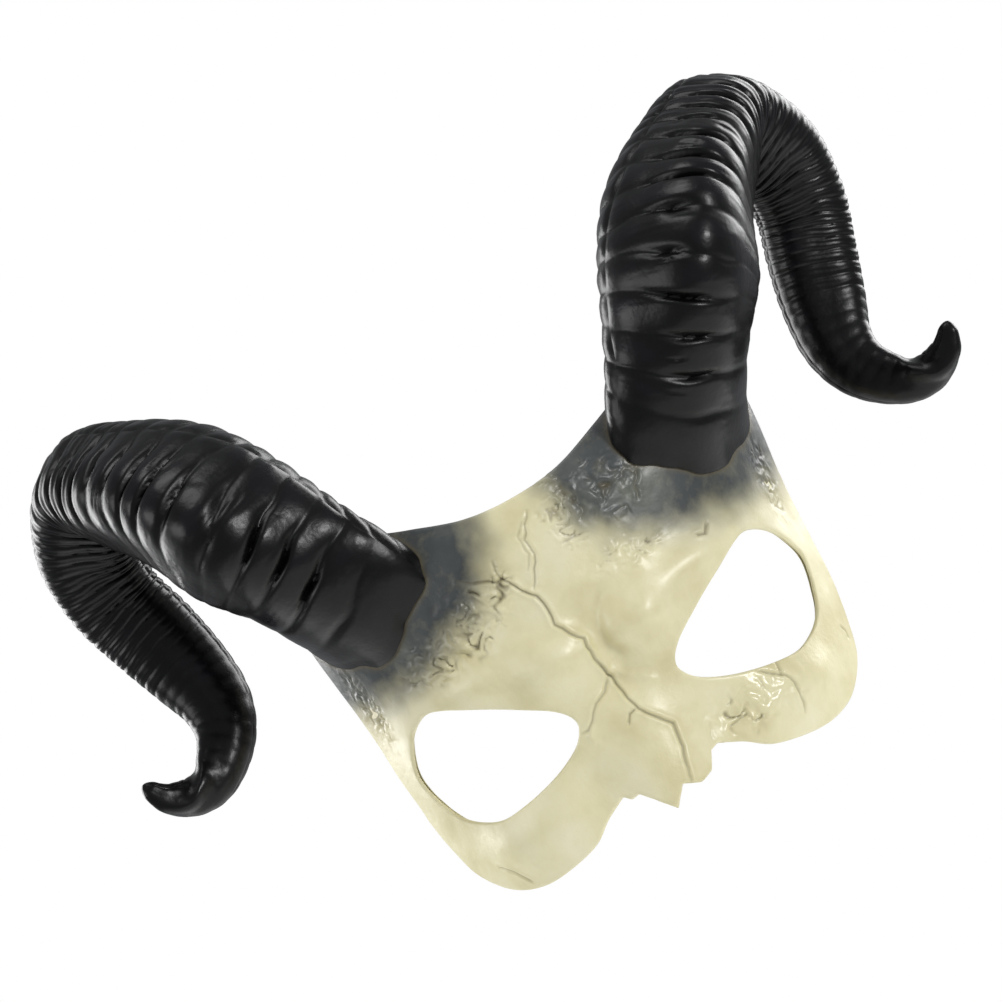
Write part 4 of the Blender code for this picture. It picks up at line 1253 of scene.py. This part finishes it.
def cut_foam():
    """Grey foam: open pits whose floors are painted darker as shade, and no shine."""
    material, tree, shader, place = start_material("cut_grey_foam")
    cells = add(tree, "ShaderNodeTexVoronoi", {"Scale": scale_of(CELL_WIDTH)}, place)
    # Painted shade: the floors of the pits are painted darker.
    tone = add(tree, "ShaderNodeValToRGB", links={0: cells.outputs[0]})
    ramp_stops(tone, [(0.1, "#1f1f20"), (0.6, "#454546")])
    pits = bump(tree, 0.7, 0.4, cells)
    feed(tree, shader, Base_Color=tone.outputs[0], Normal=pits.outputs[0])
    shader.inputs["Roughness"].default_value = 0.92
    return material


def knitted_elastic():
    """Black elastic: crossed stitches, and a faint sheen of loose fibres."""
    material, tree, shader, place = start_material("knitted_black_elastic")
    loose = {"Scale": band_scale(STITCH_ACROSS), "Distortion": 0.5, "bands_direction": "Y"}
    tight = {"Scale": band_scale(STITCH_UPWARD), "bands_direction": "Z"}
    across = add(tree, "ShaderNodeTexWave", loose, place).outputs[1]
    upward = add(tree, "ShaderNodeTexWave", tight, place).outputs[1]
    weave = add(tree, "ShaderNodeMath", {"operation": "MULTIPLY"}, {0: across, 1: upward})
    tone = add(tree, "ShaderNodeValToRGB", links={0: weave.outputs[0]})
    ramp_stops(tone, [(0.0, "#101011"), (0.8, "#2c2c2e")])
    stitches = bump(tree, 0.6, 0.3, weave)
    feed(tree, shader, Base_Color=tone.outputs[0], Normal=stitches.outputs[0])
    shader.inputs["Roughness"].default_value = 0.85
    shader.inputs["Sheen Weight"].default_value = 0.2
    return material


zinc = zinc_plated_steel()
for obj in screws:
    paint(obj, zinc)
paint(pad, cut_foam())
paint(band, knitted_elastic())
for name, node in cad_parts.items():
    if "plate" in name or "washer" in name or "screw" in name:
        for slot in node.material_slots:
            slot.material = zinc
print("materials:", len(bpy.data.materials))

# %% [markdown]
# ## Studio
# The mask hangs in a white room, over a pale round floor. Nothing rests on the floor, so it lies
# well below the mask and outside the picture.
# %% The floor
FLOOR_DROP, FLOOR_RADIUS = 0.3, 0.5       # metres

floor_mesh = bpy.data.meshes.new("floor")
bm = bmesh.new()
bmesh.ops.create_circle(bm, cap_ends=True, segments=96, radius=FLOOR_RADIUS)
bm.to_mesh(floor_mesh)
bm.free()
floor = bpy.data.objects.new("floor", floor_mesh)
floor.location.z = -FLOOR_DROP
bpy.context.scene.collection.objects.link(floor)
floor_paint, _, floor_shader, _ = start_material("pale_floor")
floor_shader.inputs["Base Color"].default_value = linear("#f4f4f2")
floor_shader.inputs["Roughness"].default_value = 0.8
paint(floor, floor_paint)
print("floor:", 2 * FLOOR_RADIUS, "m wide,", FLOOR_DROP, "m down")

# %% [markdown]
# The camera sees a pure white backdrop. The mask itself is lit by much dimmer walls, because in
# full white light the black plastic would look grey.
# %% The white room
WALL_LIGHT = 0.31

world = bpy.data.worlds.new("white_room")
bpy.context.scene.world = world
world.use_nodes = True
room = world.node_tree
backdrop = room.nodes["Background"]
backdrop.inputs["Color"].default_value = (1, 1, 1, 1)
walls = add(room, "ShaderNodeBackground", {"Color": (0.95, 0.97, 1, 1), "Strength": WALL_LIGHT})
seen = add(room, "ShaderNodeLightPath").outputs["Is Camera Ray"]
choose = add(room, "ShaderNodeMixShader", links={0: seen, 1: walls.outputs[0], 2: backdrop.outputs[0]})
room.links.new(choose.outputs[0], room.nodes["World Output"].inputs[0])
bpy.context.scene.view_settings.view_transform = "Standard"
print("room nodes:", len(room.nodes))

# %% [markdown]
# Five square lights stand round the mask. A broad one and a small one at the front sides give
# the bone its soft and its sharp highlights. The two broad ones behind draw grey edges on the
# black horns, and a weak one on top lights the brow. None is near the camera, so the broad faces
# of the horns stay dark.
# %% Softboxes
LIT_POINT = (0, 0.03, 0.01)


def softbox(name, place, size, watts):
    """A square light that faces the mask."""
    lamp = bpy.data.lights.new(name, "AREA")
    lamp.size = size
    lamp.energy = watts
    obj = bpy.data.objects.new(name, lamp)
    obj.location = place
    obj.rotation_euler = (Vector(LIT_POINT) - Vector(place)).to_track_quat("-Z", "Y").to_euler()
    bpy.context.scene.collection.objects.link(obj)


softbox("front_left", (-1.35, -0.6, 0.5), 0.8, 7.5)
softbox("front_right", (1.0, -1.15, 0.35), 0.3, 12.5)
softbox("back_left", (-1.0, 0.8, 0.35), 0.9, 15)
softbox("back_right", (1.0, 0.8, 0.35), 0.9, 16)
softbox("top", (0.1, -0.2, 1.4), 0.6, 5)
print("lights:", len(bpy.data.lights))

# %% [markdown]
# The camera looks straight at the face from 1.5 m, and is rolled so that the mask leans
# thirty degrees to the left.
# %% Camera
CAMERA_DISTANCE, CAMERA_X, CAMERA_Z = 1500, -4.25, 66.5
FOCAL_LENGTH = 158.5
ROLL = math.radians(30)

lens = bpy.data.cameras.new("camera")
lens.lens = FOCAL_LENGTH
lens.sensor_width = 36
camera = bpy.data.objects.new("camera", lens)
up = Vector((math.sin(ROLL), 0, math.cos(ROLL)))
right = Vector((math.cos(ROLL), 0, -math.sin(ROLL)))
backward = Vector((0, -1, 0))
turn = Matrix((right, up, backward)).transposed().to_4x4()
camera.matrix_world = Matrix.Translation(to_frame((CAMERA_X, -CAMERA_DISTANCE, CAMERA_Z))) @ turn
bpy.context.scene.collection.objects.link(camera)
bpy.context.scene.camera = camera
print("camera at", [round(c, 3) for c in camera.matrix_world.translation], "m")
